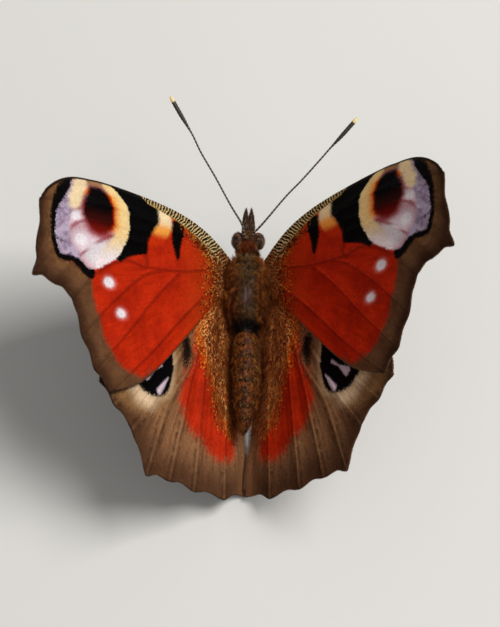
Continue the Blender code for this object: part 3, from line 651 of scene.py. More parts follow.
def striped_edge(tree, at, below):
    """The leading edge's cross stripes of cream and black, which lean and run into each other, and its gold line."""
    run = put(tree, "ShaderNodeAttribute", {"attribute_name": "front_run"}, {}).outputs["Fac"]
    edge = put(tree, "ShaderNodeAttribute", {"attribute_name": "front_edge"}, {}).outputs["Fac"]
    leaning = put(tree, "ShaderNodeMath", {"operation": "MULTIPLY_ADD"}, {0: edge, 1: -0.6, 2: run}).outputs[0]
    wavy = put(tree, "ShaderNodeMath", {"operation": "MULTIPLY_ADD"}, {0: at["wave"], 1: 0.75, 2: leaning})
    turn = put(tree, "ShaderNodeMath", {"operation": "MULTIPLY"}, {0: wavy.outputs[0], 1: 2 * math.pi / COSTA_STRIPE})
    bars = put(tree, "ShaderNodeMath", {"operation": "SINE"}, {0: turn.outputs[0]}).outputs[0]
    stripes = paint(tree, "0A0604", "E2C68C", (bars, -0.05, 0.6))
    stripes = paint(tree, stripes, "C79A4C", ("costa", -0.2, -0.06), ("tone", 0.3, 0.5))
    return paint(tree, below, stripes, ("costa", 0.05, -0.05))


def forewing_scales():
    """Scales of the forewing's upper face, flat chitin plates like powder: they scatter light with hardly any
    gloss, brick red to the eye, with black blotches and the peacock eye in cream, wine red and lilac."""
    material, tree, shader = new_finish("forewing_upper_scales", 0.7, 0.05)
    at = wing_drifts(tree)
    red = paint(tree, "D2300C", "BC260A", (at["drift"], 0.38, 0.68))
    red = paint(tree, red, "A81E08", (at["streak"], 0.48, 0.7), most=0.4)
    red = paint(tree, red, "B4440F", (at["x"], 9.0, 1.5), most=0.55)
    red = paint(tree, red, "6E1206", ("vein", 0.24, 0.04), most=0.5)
    brown = paint(tree, "775034", "44291A", ("margin", 2.0, 0.3))
    brown = paint(tree, brown, "5A3A26", (at["wave"], 0.42, 0.66), most=0.45)
    brown = paint(tree, brown, "94683A", ("crescent", 1.4, 0.15), (at["wave"], 0.75, 0.35), most=0.5)
    brown = paint(tree, brown, "3A2416", ("vein", 0.3, 0.08), most=0.3)
    colour = mark(tree, red, brown, "border", soft=0.3, ragged=0.6)
    colour = mark(tree, colour, "050303", "crescent")
    colour = mark(tree, colour, "040303", "blotch")
    colour = mark(tree, colour, "060303", "bar", soft=0.12)
    cream = paint(tree, "D8360A", "FFB850", (at["y"], 1.9, 2.9))
    cream = paint(tree, cream, "FCE8BC", (at["y"], 2.9, 4.0))
    colour = mark(tree, colour, cream, "cream", soft=0.3)
    colour = mark(tree, colour, forewing_eye(tree, at), "eyespot")
    colour = paint(tree, colour, "E8847A", ("spots", 0.5, 0.0), ("eyespot", 0.0, 0.3), most=0.65)
    colour = paint(tree, colour, "F8F0F2", ("spots", 0.2, -0.16))
    colour = paint(tree, colour, "2E1C10", ("front_edge", 0.34, 0.14), (at["x"], 10.0, 12.0))
    colour = speckled(tree, colour, "7E3610", "B87A2C", "D8B478", "200E06", 0.5)
    colour = striped_edge(tree, at, colour)
    colour_by(tree, shader, colour, "luck", 0.88, 1.1)
    return material


def forewing_eye(tree, at):
    """The peacock eye: pink and white with wine-red vein lines, lilac lobes outside, a cream ring and a pupil."""
    eye = paint(tree, "D8A8B0", "F4ECEE", ("pale_end", 2.1, 0.8))
    eye = paint(tree, eye, "ECD8DE", ("spots", 0.8, 0.2), most=0.8)
    eye = paint(tree, eye, "A02C36", ("vein", 0.26, 0.08), ("pale_end", 0.7, 1.2), most=0.7)
    lilac = paint(tree, "C8B4C8", "A48EA8", (at["wave"], 0.42, 0.62))
    lilac = paint(tree, lilac, "E2D4DC", ("eyespot", -1.5, -2.3), most=0.8)
    lilac = mark(tree, lilac, "35263A", "notches", soft=0.2, ragged=0.3)
    eye = mark(tree, eye, lilac, "lilac", soft=0.4)
    ring = paint(tree, "F6EAE8", "FDE2A4", (at["y"], -1.6, 1.4))
    ring = paint(tree, ring, "FFBE50", ("pupil", 1.5, 0.4), ("cool_side", 0.5, -0.3))
    eye = mark(tree, eye, ring, "ring", soft=0.3)
    eye = mark(tree, eye, "FBE6BC", "cream_tip", soft=0.35)
    eye = paint(tree, eye, "A83034", ("pupil", 0.7, 0.05), ("cool_side", -0.3, 0.5), most=0.75)
    eye = paint(tree, eye, "F08A1C", ("pupil", 0.65, 0.25), ("cool_side", 0.4, -0.3))
    eye = paint(tree, eye, "C62C06", ("pupil", 0.35, 0.05), ("cool_side", 0.4, -0.3))
    pupil = paint(tree, "86140A", "3A0804", (at["y"], 1.0, 2.4))
    pupil = paint(tree, pupil, "050303", (at["y"], 2.3, 3.7))
    eye = mark(tree, eye, pupil, "pupil", soft=0.28)
    return mark(tree, eye, "B0825A", "brow", soft=0.15)


def hindwing_scales():
    """Scales of the hindwing's upper face, powdery chitin plates: streaky brown to the eye, with a brick-red
    field, golden by the body, and a black and lilac eye in a pale ring."""
    material, tree, shader = new_finish("hindwing_upper_scales", 0.7, 0.05)
    at = wing_drifts(tree)
    brown = paint(tree, "9A6C48", "5A3A26", ("margin", 5.0, 0.5))
    brown = paint(tree, brown, "583722", (at["streak"], 0.46, 0.66), most=0.6)
    beside = (("vein", 0.7, 0.45), ("vein", 0.1, 0.35), (at["wave"], 0.35, 0.6))
    brown = paint(tree, brown, "3A2214", *beside, most=0.6)
    brown = paint(tree, brown, "B08C62", ("vein", 0.16, 0.04), (at["wave"], 0.66, 0.4), most=0.2)
    red = paint(tree, "CE3210", "B4280A", (at["drift"], 0.35, 0.7))
    red = paint(tree, red, "962008", (at["streak"], 0.46, 0.68), most=0.4)
    red = paint(tree, red, "701806", ("vein", 0.24, 0.05), most=0.5)
    colour = mark(tree, brown, red, "red", soft=0.6, ragged=0.9)
    ring = paint(tree, "9A7048", "F4D8B0", ("eyespot", 2.4, 0.4), (at["y"], -10.5, -12.0), (at["x"], 9.8, 12.4))
    ring = paint(tree, ring, "DCC09A", ("eyespot", 0.9, 0.15), most=0.5)
    ring = paint(tree, ring, "7A5430", (at["streak"], 0.5, 0.7), most=0.45)
    colour = mark(tree, colour, ring, "halo", soft=0.7, ragged=0.5)
    colour = mark(tree, colour, "1E120A", "dark_spot", soft=0.35, ragged=0.5)
    colour = mark(tree, colour, "050304", "eyespot", soft=0.14)
    colour = paint(tree, colour, "DCC6D0", ("streaks", 0.14, -0.1))
    colour = paint(tree, colour, "7C5234", (at["x"], -1.2, -2.2), (at["y"], -11.0, -14.0), most=0.7)
    colour = speckled(tree, colour, "C05010", "D4802A", "DCA05C", "6A2408", 0.34)
    colour_by(tree, shader, colour, "luck", 0.88, 1.1)
    return material


def underside_scales(name, outer):
    """Scales of a wing's under face, sooty brown to the eye with fine wavy lines and a darker inner half, which
    hide the closed butterfly."""
    material, tree, shader = new_finish(name, 0.65, 0.12)
    at = wing_drifts(tree)
    links = {"Vector": at["net"], "Scale": 0.5, "Distortion": 9.0, "Detail": 2.0, "Detail Scale": 1.4}
    lines = put(tree, "ShaderNodeTexWave", {"bands_direction": "Y"}, links).outputs["Fac"]
    base = paint(tree, "1C140F", "46352A", ("span", 0.35, 0.6))
    base = paint(tree, base, outer, ("margin", 3.4, 1.4), most=0.6)
    base = paint(tree, base, "0A0605", (lines, 0.4, 0.65), most=0.8)
    base = paint(tree, base, "7A6450", ("luck", 0.86, 0.95), most=0.5)
    colour_by(tree, shader, base, "luck", 0.82, 1.14)
    return material


def body_markings(tree):
    """The colours of skin and hair by their place on the body, the same for both."""
    place = put(tree, "ShaderNodeAttribute", {"attribute_name": "place"}, {}).outputs["Vector"]
    where = put(tree, "ShaderNodeSeparateXYZ", {}, {"Vector": place}).outputs
    away = put(tree, "ShaderNodeMath", {"operation": "ABSOLUTE"}, {0: where["X"]}).outputs[0]
    y, z = where["Y"], where["Z"]
    drift = put(tree, "ShaderNodeTexNoise", {}, {"Vector": place, "Scale": 1 / WAVE, "Detail": 3.0}).outputs["Fac"]

    back = paint(tree, "40240F", "8A6230", ("tone", 0.2, 1.0))
    flank = paint(tree, "5C2A0A", "BC6A28", ("tone", 0.25, 0.95))
    thorax = paint(tree, back, flank, (away, 0.6, 1.4))
    thorax = paint(tree, thorax, "201108", (drift, 0.5, 0.64), most=0.5)
    # A pinkish-grey patch on top of the thorax where the hair is worn thin: the bare skin's own colour, and a painted
    # highlight as well.
    thorax = paint(tree, thorax, "6A4E48", (y, 0.9, 0.2), (y, -1.8, -1.0), (away, 0.6, 0.15), (z, 0.4, 1.0), most=0.8)
    # A pale line along the collar's front edge: a painted highlight of its lit edge.
    thorax = paint(tree, thorax, "C0A07C", (y, 3.6, 3.8), (y, 4.15, 3.95), (away, 0.8, 0.5), most=0.35)
    # Painted shade: the thorax's rear darkens where it falls away into the waist.
    thorax = paint(tree, thorax, "120A06", (y, -2.3, -3.2))
    below = paint(tree, "2A1E16", "5A4630", ("tone", 0.3, 1.0))
    thorax = paint(tree, below, thorax, (z, -0.9, 0.1))

    head = paint(tree, "401E0C", "94622E", ("tone", 0.3, 1.0))
    head = paint(tree, head, "8E3C12", (away, 1.0, 0.5), (y, 5.9, 5.5), (z, 0.2, 0.7), ("tone", 0.1, 0.5), most=0.8)
    # Painted shade in the hollow of the neck, between head and collar.
    head = paint(tree, head, "0E0805", (y, 4.8, 4.5))
    head = paint(tree, head, "D0AA70", (away, 0.65, 0.85), (y, 5.6, 5.4), (y, 4.9, 5.1), (z, 0.2, 0.5), most=0.85)
    head = paint(tree, head, "B8905A", (away, 0.95, 0.6), (away, 0.1, 0.35), (y, 5.8, 6.1), (z, 0.4, 0.8), most=0.6)
    head = paint(tree, head, "2A1810", (y, 6.5, 7.0), most=0.6)
    head = paint(tree, head, "B09A80", (y, 6.6, 7.0), ("luck", 0.8, 0.86), (y, 9.0, 8.4), most=0.85)

    abdomen = paint(tree, "58260A", "A04E14", (drift, 0.4, 0.62))
    abdomen = paint(tree, abdomen, "C06A20", (away, 0.5, 1.1), ("tone", 0.2, 0.8))
    band = put(tree, "ShaderNodeMath", {"operation": "WRAP"}, {0: y, 1: ABDOMEN_FRONT, 2: ABDOMEN_FRONT - SEGMENT})
    start = ABDOMEN_FRONT - SEGMENT
    abdomen = paint(tree, abdomen, "1C1008", (band.outputs[0], start + 0.5, start + 0.15), most=0.7)
    abdomen = paint(tree, abdomen, "150B06", ("luck", 0.3, 0.24), most=0.85)
    abdomen = paint(tree, abdomen, "D09A4C", ("luck", 0.78, 0.82), (z, -0.2, 0.4))
    abdomen = paint(tree, abdomen, "8C7472", ("luck", 0.975, 0.985), (z, -0.2, 0.4))
    abdomen = paint(tree, "241810", abdomen, (z, -0.7, 0.0))
    colour = paint(tree, thorax, head, (y, 4.1, 4.5))
    return paint(tree, abdomen, colour, (y, -4.3, -3.9))


def coat_hair():
    """Hair of the body, thin tapered chitin with a silky sheen: dark at the root, lighter to the tip."""
    material, tree, shader = new_finish("body_hair", 0.65, 0.15)
    colour_by(tree, shader, body_markings(tree), "along", 0.35, 1.45)
    return material


def skin_cuticle():
    """The body's hard skin, pitted chitin plates: the hair's own markings but darker, and a dull gloss where the
    hair has worn off, with a pinkish-grey patch there that is part bare skin and part painted highlight."""
    material, tree, shader = new_finish("body_cuticle", 0.6, 0.2)
    colour_by(tree, shader, body_markings(tree), "along", 0.6, 0.6)
    place = put(tree, "ShaderNodeAttribute", {"attribute_name": "place"}, {}).outputs["Vector"]
    pits = put(tree, "ShaderNodeTexNoise", {}, {"Vector": place, "Scale": 1 / PITS, "Detail": 4.0}).outputs["Fac"]
    relief = put(tree, "ShaderNodeBump", {}, {"Strength": 0.6, "Distance": 0.00006, "Height": pits})
    tree.links.new(relief.outputs["Normal"], shader.inputs["Normal"])
    return material


def wing_hair():
    """Hair over the wings' roots, long and thin: silky golden brown and rust to the eye."""
    material, tree, shader = new_finish("wing_root_hair", 0.55, 0.25)
    colour = paint(tree, "7E300A", "CC7428", ("tone", 0.25, 0.9))
    colour = paint(tree, colour, "2A140A", ("luck", 0.2, 0.12))
    colour_by(tree, shader, colour, "along", 0.7, 1.4)
    return material


def fringe_scales():
    """Hair-like scales of the margin, matt: dark brown, paler between the veins, and grey-brown by the body."""
    material, tree, shader = new_finish("margin_fringe_scales", 0.7, 0.15)
    colour = paint(tree, "3E281A", "8A6848", ("tone", 0.55, 0.95))
    colour_by(tree, shader, paint(tree, colour, "8A6244", ("inner", 0.0, 1.0)), "along", 0.85, 1.1)
    return material


def eye_lens():
    """A compound eye, thousands of clear domes over pigment: a broken soft gloss over mottled brown."""
    material, tree, shader = new_finish("compound_eye", 0.5, 0.16)
    place = put(tree, "ShaderNodeAttribute", {"attribute_name": "place"}, {}).outputs["Vector"]
    cells = put(tree, "ShaderNodeTexVoronoi", {}, {"Vector": place, "Scale": 1 / FACET, "Randomness": 0.25})
    drift = put(tree, "ShaderNodeTexNoise", {}, {"Vector": place, "Scale": 1 / WAVE, "Detail": 3.0}).outputs["Fac"]
    colour = paint(tree, "341C0E", "96623A", (drift, 0.42, 0.62))
    colour = paint(tree, colour, "0A0604", (cells.outputs["Distance"], 0.35, 0.6))
    tree.links.new(colour, shader.inputs["Base Color"])
    links = {"Strength": 0.7, "Distance": 0.00003, "Height": cells.outputs["Distance"]}
    relief = put(tree, "ShaderNodeBump", {"invert": True}, links)
    tree.links.new(relief.outputs["Normal"], shader.inputs["Normal"])
    return material


def ringed_cuticle():
    """The feelers' skin, jointed chitin: satin dark brown with a faint pale ring at each joint, and a cream tip."""
    material, tree, shader = new_finish("antenna_cuticle", 0.5, 0.4)
    run = put(tree, "ShaderNodeAttribute", {"attribute_name": "run"}, {}).outputs["Fac"]
    turn = put(tree, "ShaderNodeMath", {"operation": "MULTIPLY"}, {0: run, 1: 2 * math.pi / ANTENNA_RING})
    ring = put(tree, "ShaderNodeMath", {"operation": "SINE"}, {0: turn.outputs[0]}).outputs[0]
    colour = paint(tree, "1C120C", "8A7258", (ring, 0.5, 0.95), ("club", 0.6, 0.1))
    colour = paint(tree, colour, "2A1E18", ("club", 0.3, 0.8))
    colour = paint(tree, colour, "EFD79A", ("tip", 0.75, 0.45))
    tree.links.new(colour, shader.inputs["Base Color"])
    return material


def tongue_cuticle():
    """The tongue's skin, a smooth tube of chitin ribs: horn brown with a soft gloss."""
    material, tree, shader = new_finish("proboscis_cuticle", 0.35, 0.5)
    run = put(tree, "ShaderNodeAttribute", {"attribute_name": "run"}, {}).outputs["Fac"]
    turn = put(tree, "ShaderNodeMath", {"operation": "MULTIPLY"}, {0: run, 1: 2 * math.pi / TONGUE_RING})
    ribs = put(tree, "ShaderNodeMath", {"operation": "SINE"}, {0: turn.outputs[0]}).outputs[0]
    colour = paint(tree, "2A1710", "5A3622", (ribs, -0.5, 0.8))
    tree.links.new(colour, shader.inputs["Base Color"])
    relief = put(tree, "ShaderNodeBump", {}, {"Strength": 0.5, "Distance": 0.00002, "Height": ribs})
    tree.links.new(relief.outputs["Normal"], shader.inputs["Normal"])
    return material


def leg_scales():
    """The legs' skin under flat scales: matt dark brown with paler scales scattered over it."""
    material, tree, shader = new_finish("leg_cuticle", 0.55, 0.35)
    place = put(tree, "ShaderNodeAttribute", {"attribute_name": "place"}, {}).outputs["Vector"]
    cells = put(tree, "ShaderNodeTexVoronoi", {}, {"Vector": place, "Scale": 1 / PITS})
    chance = put(tree, "ShaderNodeSeparateColor", {}, {"Color": cells.outputs["Color"]}).outputs["Red"]
    tree.links.new(paint(tree, "2A1C12", "6A5038", (chance, 0.3, 1.0)), shader.inputs["Base Color"])
    links = {"Strength": 0.5, "Distance": 0.00003, "Height": cells.outputs["Distance"]}
    relief = put(tree, "ShaderNodeBump", {"invert": True}, links)
    tree.links.new(relief.outputs["Normal"], shader.inputs["Normal"])
    return material


# Wings

WINGS = {
    "forewing": (FOREWING_FRONT, FOREWING_ENDS, FOREWING_BACK, FOREWING_VEINS),
    "hindwing": (HINDWING_FRONT, HINDWING_ENDS, HINDWING_BACK, HINDWING_VEINS),
}


def scalloped(ends):
    """The outer margin through the vein ends, drawn in between each pair of them."""
    ends = np.asarray(ends, float)
    made = []
    for a, b in zip(ends, ends[1:]):
        along = b - a
        inwards = np.array([along[1], -along[0]]) / np.linalg.norm(along)
        t = np.linspace(0, 1, 16, endpoint=False)[:, None]
        made.append(a + along * t + inwards * SCALLOP * 0.5 * (1 - np.cos(2 * math.pi * t)))
    return np.vstack([*made, ends[-1:]])


def wing_edges(pair):
    """The leading edge, outer margin and back edge of a wing as smooth lines."""
    front, ends, back, _ = WINGS[pair]
    return curve_through(front, 8), scalloped(ends), curve_through(back, 8)


def vein_rows(pair):
    """Each vein as rows of x, y, half width and height, at even steps, ending short of the rim."""
    rows = []
    for route in WINGS[pair][3]:
        line = even(curve_through(route, 8), 0.22)[:-1]
        wide, high = (np.linspace(*ends, len(line)) for ends in (VEIN_HALF_WIDTH, VEIN_HEIGHT))
        rows.append(np.column_stack([line, wide, high]))
    return rows


def vein_field(flat, rows):
    """How far each point lies from the nearest vein, and how much that vein raises it."""
    away, raised = np.full(len(flat), 9.0), np.zeros(len(flat))
    for row in rows:
        for a, b in zip(row[::2], np.vstack([row[2::2], row[-1:]])):
            near = np.flatnonzero(np.abs(flat - a[:2]).max(1) < PLEAT_REACH + 1.0)
            along = b[:2] - a[:2]
            if not len(near) or not along.any():
                continue
            share = np.clip((flat[near] - a[:2]) @ along / (along @ along), 0, 1)
            distance = np.linalg.norm(flat[near] - a[:2] - share[:, None] * along, axis=1)
            away[near] = np.minimum(away[near], distance)
            bulge = a[3] * np.sqrt(np.clip(1 - (distance / a[2]) ** 2, 0, 1))
            raised[near] = np.maximum(raised[near], bulge)
    return away, raised


def wing_net(pair):
    """Flat points and triangles of a wing, dense along the rim and the veins, and its distance fields."""
    edges = wing_edges(pair)
    rim = even(np.vstack([*edges, edges[0][:1]]), RIM_STEP)[:-1]
    rows = vein_rows(pair)
    low, high = rim.min(0), rim.max(0)
    grid = []
    for i, y in enumerate(np.arange(low[1], high[1], NET * 0.866)):
        x = np.arange(low[0] + (i % 2) * NET / 2, high[0], NET)
        grid.append(np.column_stack([x, np.full(len(x), y)]))
    grid = np.vstack(grid)
    grid = grid[vein_field(grid, rows)[0] > VEIN_HALF_WIDTH[0] + 0.06]
    lines = []
    for row in rows:
        along = np.gradient(row[:, :2], axis=0)
        across = np.column_stack([-along[:, 1], along[:, 0]]) / np.linalg.norm(along, axis=1)[:, None]
        for share in (-1.0, -0.5, 0.0, 0.5, 1.0):
            lines.append(row[:, :2] + across * row[:, 2:3] * share)
    points = np.vstack([grid, *lines])
    points = points[inside(points, rim)]
    points = points[nearest(points, np.vstack([rim, rim[:1]]))[0] > 0.1]
    all_points = [Vector(p) for p in np.vstack([rim, points])]
    made = delaunay_2d_cdt(all_points, [], [list(range(len(rim)))], 1, 0.02)
    return np.array([tuple(p) for p in made[0]]), np.array(made[2])


def relief(pair, flat, away):
    """Height of the membrane's middle: curl, drooping leading edge, and folds between the veins."""
    fold = smooth(0.0, PLEAT_REACH, np.minimum(away, PLEAT_REACH))
    height = SHEET_SHIFT[pair] - PLEAT_DEPTH * (fold - 0.5) * smooth(0.5, 4.0, np.hypot(*flat.T))
    if pair == "forewing":
        height += WING_CURL * (flat[:, 0] / 29.5) ** 2
        height -= LEADING_EDGE_DROOP * np.clip((flat[:, 1] - 3.0) / 3.6, 0, 1) ** 2
    else:
        height += INNER_EDGE_CURL * smooth(-2.3, -3.4, flat[:, 0]) * smooth(-14.0, -19.0, flat[:, 1])
    return height


def front_band(flat):
    """How far each point is from the leading edge, how far along it, and how far from its striped band."""
    away, run = nearest(flat, wing_edges("forewing")[0])
    band = np.interp(run, [0, 5, 10, 13.8, 14.8], [1.5, 1.5, 1.15, 0.75, -0.3])
    return {"front_edge": away, "front_run": run, "costa": away - band}


def line_field(flat, lines):
    """The distance from the nearest of some short lines, less its half width, which tapers to its second end."""
    found = []
    for a, b, half in lines:
        away, run = nearest(flat, np.array([a, b]))
        found.append(away - half * (1 - LINE_TAPER * run / math.dist(a, b)))
    return np.min(found, 0)


def wing_marks(pair, flat, away):
    """The fields that the scales' colours are painted from, in millimetres unless they are shares."""
    x, y = flat.T
    centre = np.array(SCALES_FAN_FROM[pair])
    reach, angle = np.hypot(*(flat - centre).T), np.arctan2(*(flat - centre).T[::-1])
    fields = {
        "vein": away,
        "margin": nearest(flat, wing_edges(pair)[1])[0],
        "net": np.column_stack([flat, np.full(len(flat), 4.0)]),
        "fan": np.column_stack([angle * reach.mean() / STREAK[0], reach / STREAK[1], np.zeros(len(flat))]),
    }
    marks = FOREWING_MARKS if pair == "forewing" else HINDWING_MARKS
    for name, outline in marks.items():
        fields[name] = signed_distance(flat, closed_curve(outline))
    if pair == "forewing":
        fields.update(front_band(flat))
        fields["notches"] = line_field(flat, FOREWING_NOTCHES)
        fields["spots"] = np.min([np.hypot((x - a) * SPOT_SHAPE, y - b) - r for a, b, r in FOREWING_SPOTS], 0)
        fields["pale_end"] = np.hypot((x - 19.6) / 1.9, y + 1.2)
        outer_side = np.minimum(x - 19.2 + (y - 3.0) * 0.35, 4.7 - y)
        fields["cool_side"] = np.max([outer_side, 1.4 - y, y - 5.2], 0)
        under_costa = (1 - smooth(0.2, 1.7, fields["costa"])) * (1 - smooth(3.0, 9.5, x)) * 0.8
        fields["speckle"] = np.clip(np.maximum(1.0 - x / 4.4, under_costa), 0, 1)
        fields["span"] = np.hypot(x, y) / 30.0
    else:
        fields["streaks"] = line_field(flat, HINDWING_STREAKS)
        fields["speckle"] = smooth(0.8, -2.6, fields["gold"])
        fields["span"] = np.hypot(x, y) / 24.0
    return fields


def wing_uv(flat, low, size, row=0.0):
    """A wing's flat shape laid out on the unwrap, in the lower or the upper half of it."""
    return (flat - low) / size * 0.48 + (0.01, 0.01 + row)


def add_wings(pair, upper, under, hair, fringe):
    """Both wings of a pair: a membrane with raised veins, its scales, hair at its root, fringe at its margin."""
    flat, faces = wing_net(pair)
    count = len(flat)
    away, raised = vein_field(flat, vein_rows(pair))
    edges = np.vstack([faces[:, [0, 1]], faces[:, [1, 2]], faces[:, [2, 0]]])
    keys, inverse, uses = np.unique(np.sort(edges, 1), axis=0, return_inverse=True, return_counts=True)
    border = edges[uses[inverse.ravel()] == 1]
    half = SHEET_HALF + raised
    half[np.unique(border)] = RIM_HALF
    middle = relief(pair, flat, away)
    top, bottom = (np.column_stack([flat, middle + s * half]) for s in (1, -1))
    a, b = border.T
    walls = np.vstack([np.column_stack([b, a, a + count]), np.column_stack([b, a + count, b + count])])
    triangles = np.vstack([faces, faces[:, ::-1] + count, walls])
    which = np.repeat([0, 1, 0], [len(faces), len(faces), len(walls)])
    low, size = flat.min(0), np.ptp(flat, axis=0).max()
    uv = np.vstack([wing_uv(flat, low, size), wing_uv(flat, low, size, 0.5)])
    fields = wing_marks(pair, flat, away)
    fields["tone"], fields["luck"] = np.full(count, 0.99), np.full(count, 0.3)
    both = {k: np.concatenate([v, v]) for k, v in fields.items()}
    covers = {face: scale_cover(pair, face) for face in SCALE_SIZE}
    for side, mirror in SIDES.items():
        points = from_wing(pair, side, np.vstack([top, bottom]))
        points[:, 2] = np.maximum(points[:, 2], 0.0)
        make_piece(
            f"{pair}_{side}_membrane", points, triangles[:, ::mirror], [upper, under],
            replaced=[f"{pair}_{side}"], fields=both, uv=uv, which=which,
        )
        for face, (places, plates, marks) in covers.items():
            placed = from_wing(pair, side, places)
            placed[:, 2] = np.maximum(placed[:, 2], 0.0)
            make_piece(
                f"{pair}_{side}_{face}_scales", placed, plates[:, ::mirror],
                [upper if face == "upper" else under], fields=marks,
                uv=marks_uv(places, marks, low, size), faceted=True,
            )
        add_root_hair(pair, side, points[:count], faces, flat, fields, uv[:count], hair)
        add_fringe(pair, side, fringe)


def marks_uv(places, marks, low, size):
    """Each scale as a tiny patch about its root on the wing's unwrap."""
    root = marks["net"][:, :2]
    return wing_uv(root, low, size) + np.clip((places[:, :2] - root) * 0.008, -0.003, 0.003)


def scale_cover(pair, face):
    """Overlapping scales over one face of a wing, in rows across the veins, all pointing to the margin."""
    rng = np.random.default_rng({"upper": 71, "under": 72}[face] + (5 if pair == "hindwing" else 0))
    centre = np.array(SCALES_FAN_FROM[pair])
    edges = wing_edges(pair)
    outline = even(np.vstack([*edges, edges[0][:1]]), 0.25)[:-1]
    row_step, step = SCALE_ROWS[face]
    reach = np.linalg.norm(outline - centre, axis=1)
    roots = []
    for i, r in enumerate(np.arange(0.5, reach.max(), row_step)):
        angle = np.arange(-math.pi, math.pi / 2, step / r) + (i % 2) * step / r / 2
        roots.append(centre + r * np.column_stack([np.cos(angle), np.sin(angle)]))
    roots = np.vstack(roots)
    roots += rng.normal(0, step * 0.16, roots.shape)
    roots = roots[inside(roots, outline)]
    clear = nearest(roots, np.vstack([outline, outline[:1]]))[0]
    roots, clear = roots[clear > 0.05], clear[clear > 0.05]
    count = len(roots)
    ahead = roots - centre
    ahead /= np.linalg.norm(ahead, axis=1)[:, None]
    turn = rng.normal(0, 0.13, count)[:, None]
    ahead = ahead * np.cos(turn) + np.column_stack([-ahead[:, 1], ahead[:, 0]]) * np.sin(turn)
    across = np.column_stack([-ahead[:, 1], ahead[:, 0]])
    length, width = (size * rng.uniform(0.85, 1.15, (count, 1)) for size in SCALE_SIZE[face])
    length = np.minimum(length, clear[:, None] + 0.03)
    shape = np.array([*SCALE_OUTLINE, SCALE_KEEL[:2]])
    lift = np.array([*SCALE_LIFT, SCALE_KEEL[2]]) + rng.uniform(-0.01, 0.02, (count, 1)) * shape[:, 0]
    tilt = rng.normal(0, 0.012, (count, 1)) * shape[:, 1]
    flat = roots[:, None] + ahead[:, None] * (length * shape[:, 0])[:, :, None] \
        + across[:, None] * (width * shape[:, 1])[:, :, None]
    flat = flat.reshape(-1, 2)
    away, raised = vein_field(flat, vein_rows(pair))
    up = 1 if face == "upper" else -1
    height = relief(pair, flat, away) + up * (SHEET_HALF + raised + (lift + tilt).ravel())
    sides, each = len(SCALE_OUTLINE), len(shape)
    plate = [(0, k, k + 1) for k in range(1, sides - 1)] + [(sides, (k + 1) % sides, k) for k in range(sides)]
    plates = (np.arange(count)[:, None, None] * each + np.array(plate)[None]).reshape(-1, 3)[:, ::up]
    marks = wing_marks(pair, roots, vein_field(roots, vein_rows(pair))[0])
    marks["tone"], marks["luck"] = rng.random(count), rng.random(count)
    marks = {k: np.repeat(v, each, axis=0) for k, v in marks.items()}
    if pair == "forewing" and face == "upper":
        marks.update(front_band(flat))
    return np.column_stack([flat, height]), plates, marks


def add_root_hair(pair, side, points, faces, flat, fields, uv, hair):
    """Long thin hair that lies outwards and back over the root of a wing's upper face."""
    mirror = SIDES[side]
    rng = np.random.default_rng(11 if pair == "forewing" else 12)
    turn = BODY_TURN @ wing_turn(pair, side) @ np.diag((mirror, 1.0, 1.0))
    x, y = flat.T
    if pair == "forewing":
        weight = np.clip(1 - (x + 0.5) / 2.8, 0, 1) ** 1.5
        count, reach, inwards, rise = 1800, 0.9, 0.0, (0.34, 0.02)
    else:
        weight = smooth(0.8, -2.0, fields["gold"]) * (0.25 + 0.75 * smooth(-17.0, -5.0, y))
        weight *= smooth(4.2, 0.5, x) + 1.5 * smooth(-0.4, -1.6, x)
        count, reach, inwards, rise = 6000, 1.5, 1.1, (0.5, 0.12)
    place = np.column_stack([flat, np.zeros(len(flat))])
    surface = surface_of(points, faces[:, ::mirror], place, uv, turn)

    def lie(place):
        """Outwards by the body, then back along the wing, but inwards over the abdomen's side."""
        out = (0.75 - 0.5 * smooth(0, -12, place[:, 1])) * smooth(-1.2, 1.0, place[:, 0])
        return np.column_stack([out - inwards * smooth(1.2, -0.6, place[:, 0]), -np.ones(len(place)), 0 * out])

    def length(place):
        return reach * (0.7 + 0.3 * smooth(3.0, 0.0, place[:, 0]))

    coat(
        f"{pair}_{side}_hair", rng, count, surface, weight + 1e-5, lie, length, 0.038, rise, hair,
        sink=0.03, clump=5,
    )


def add_fringe(pair, side, fringe):
    """Short hair-like scales along the outer margin, and longer soft hair along the hindwing's edge by the body."""
    rng = np.random.default_rng(21 if pair == "forewing" else 22)
    _, margin, back = wing_edges(pair)
    kept = len(back) if pair == "hindwing" else len(back) * 2 // 3
    line = even(np.vstack([margin, back[:kept]]), FRINGE_STEP)
    along = np.gradient(line, axis=0)
    outwards = np.column_stack([-along[:, 1], along[:, 0]]) / np.linalg.norm(along, axis=1)[:, None]
    flat = line - outwards * 0.06
    away = vein_field(flat, vein_rows(pair))[0]
    count = len(flat)
    inner = smooth(0.4, 1.2, nearest(flat, margin)[0]) if pair == "hindwing" else np.zeros(count)
    roots = from_wing(pair, side, np.column_stack([flat, relief(pair, flat, away)]))
    turn = BODY_TURN @ wing_turn(pair, side) @ np.diag((SIDES[side], 1.0, 1.0))
    normals = np.tile(turn @ (0, 0, 1.0), (count, 1))
    way = outwards + rng.normal(0, 0.09, (count, 2)) - np.column_stack([np.zeros(count), inner])
    way = np.column_stack([way, np.zeros(count)]) @ turn.T
    length = rng.uniform(0.2, 0.25, count) * (1 + 2.6 * inner)
    width = 0.075 - 0.035 * inner
    points, triangles, spread, owner = hairs(rng, roots, normals, way, length, width, 0.3 * inner, -0.1)
    points[:, 2] = np.maximum(points[:, 2], 0.0)
    pale = 0.5 + 0.5 * np.clip(away / 1.2, 0, 1) * rng.random(count)
    uv = (flat[owner] + 30) / 64 + PATCH * spread
    fields = {"along": spread[:, 0], "tone": pale[owner], "inner": (inner * rng.uniform(0.5, 1.0, count))[owner]}
    make_piece(f"{pair}_{side}_fringe", points, triangles, [fringe], fields=fields, uv=uv)


# Body

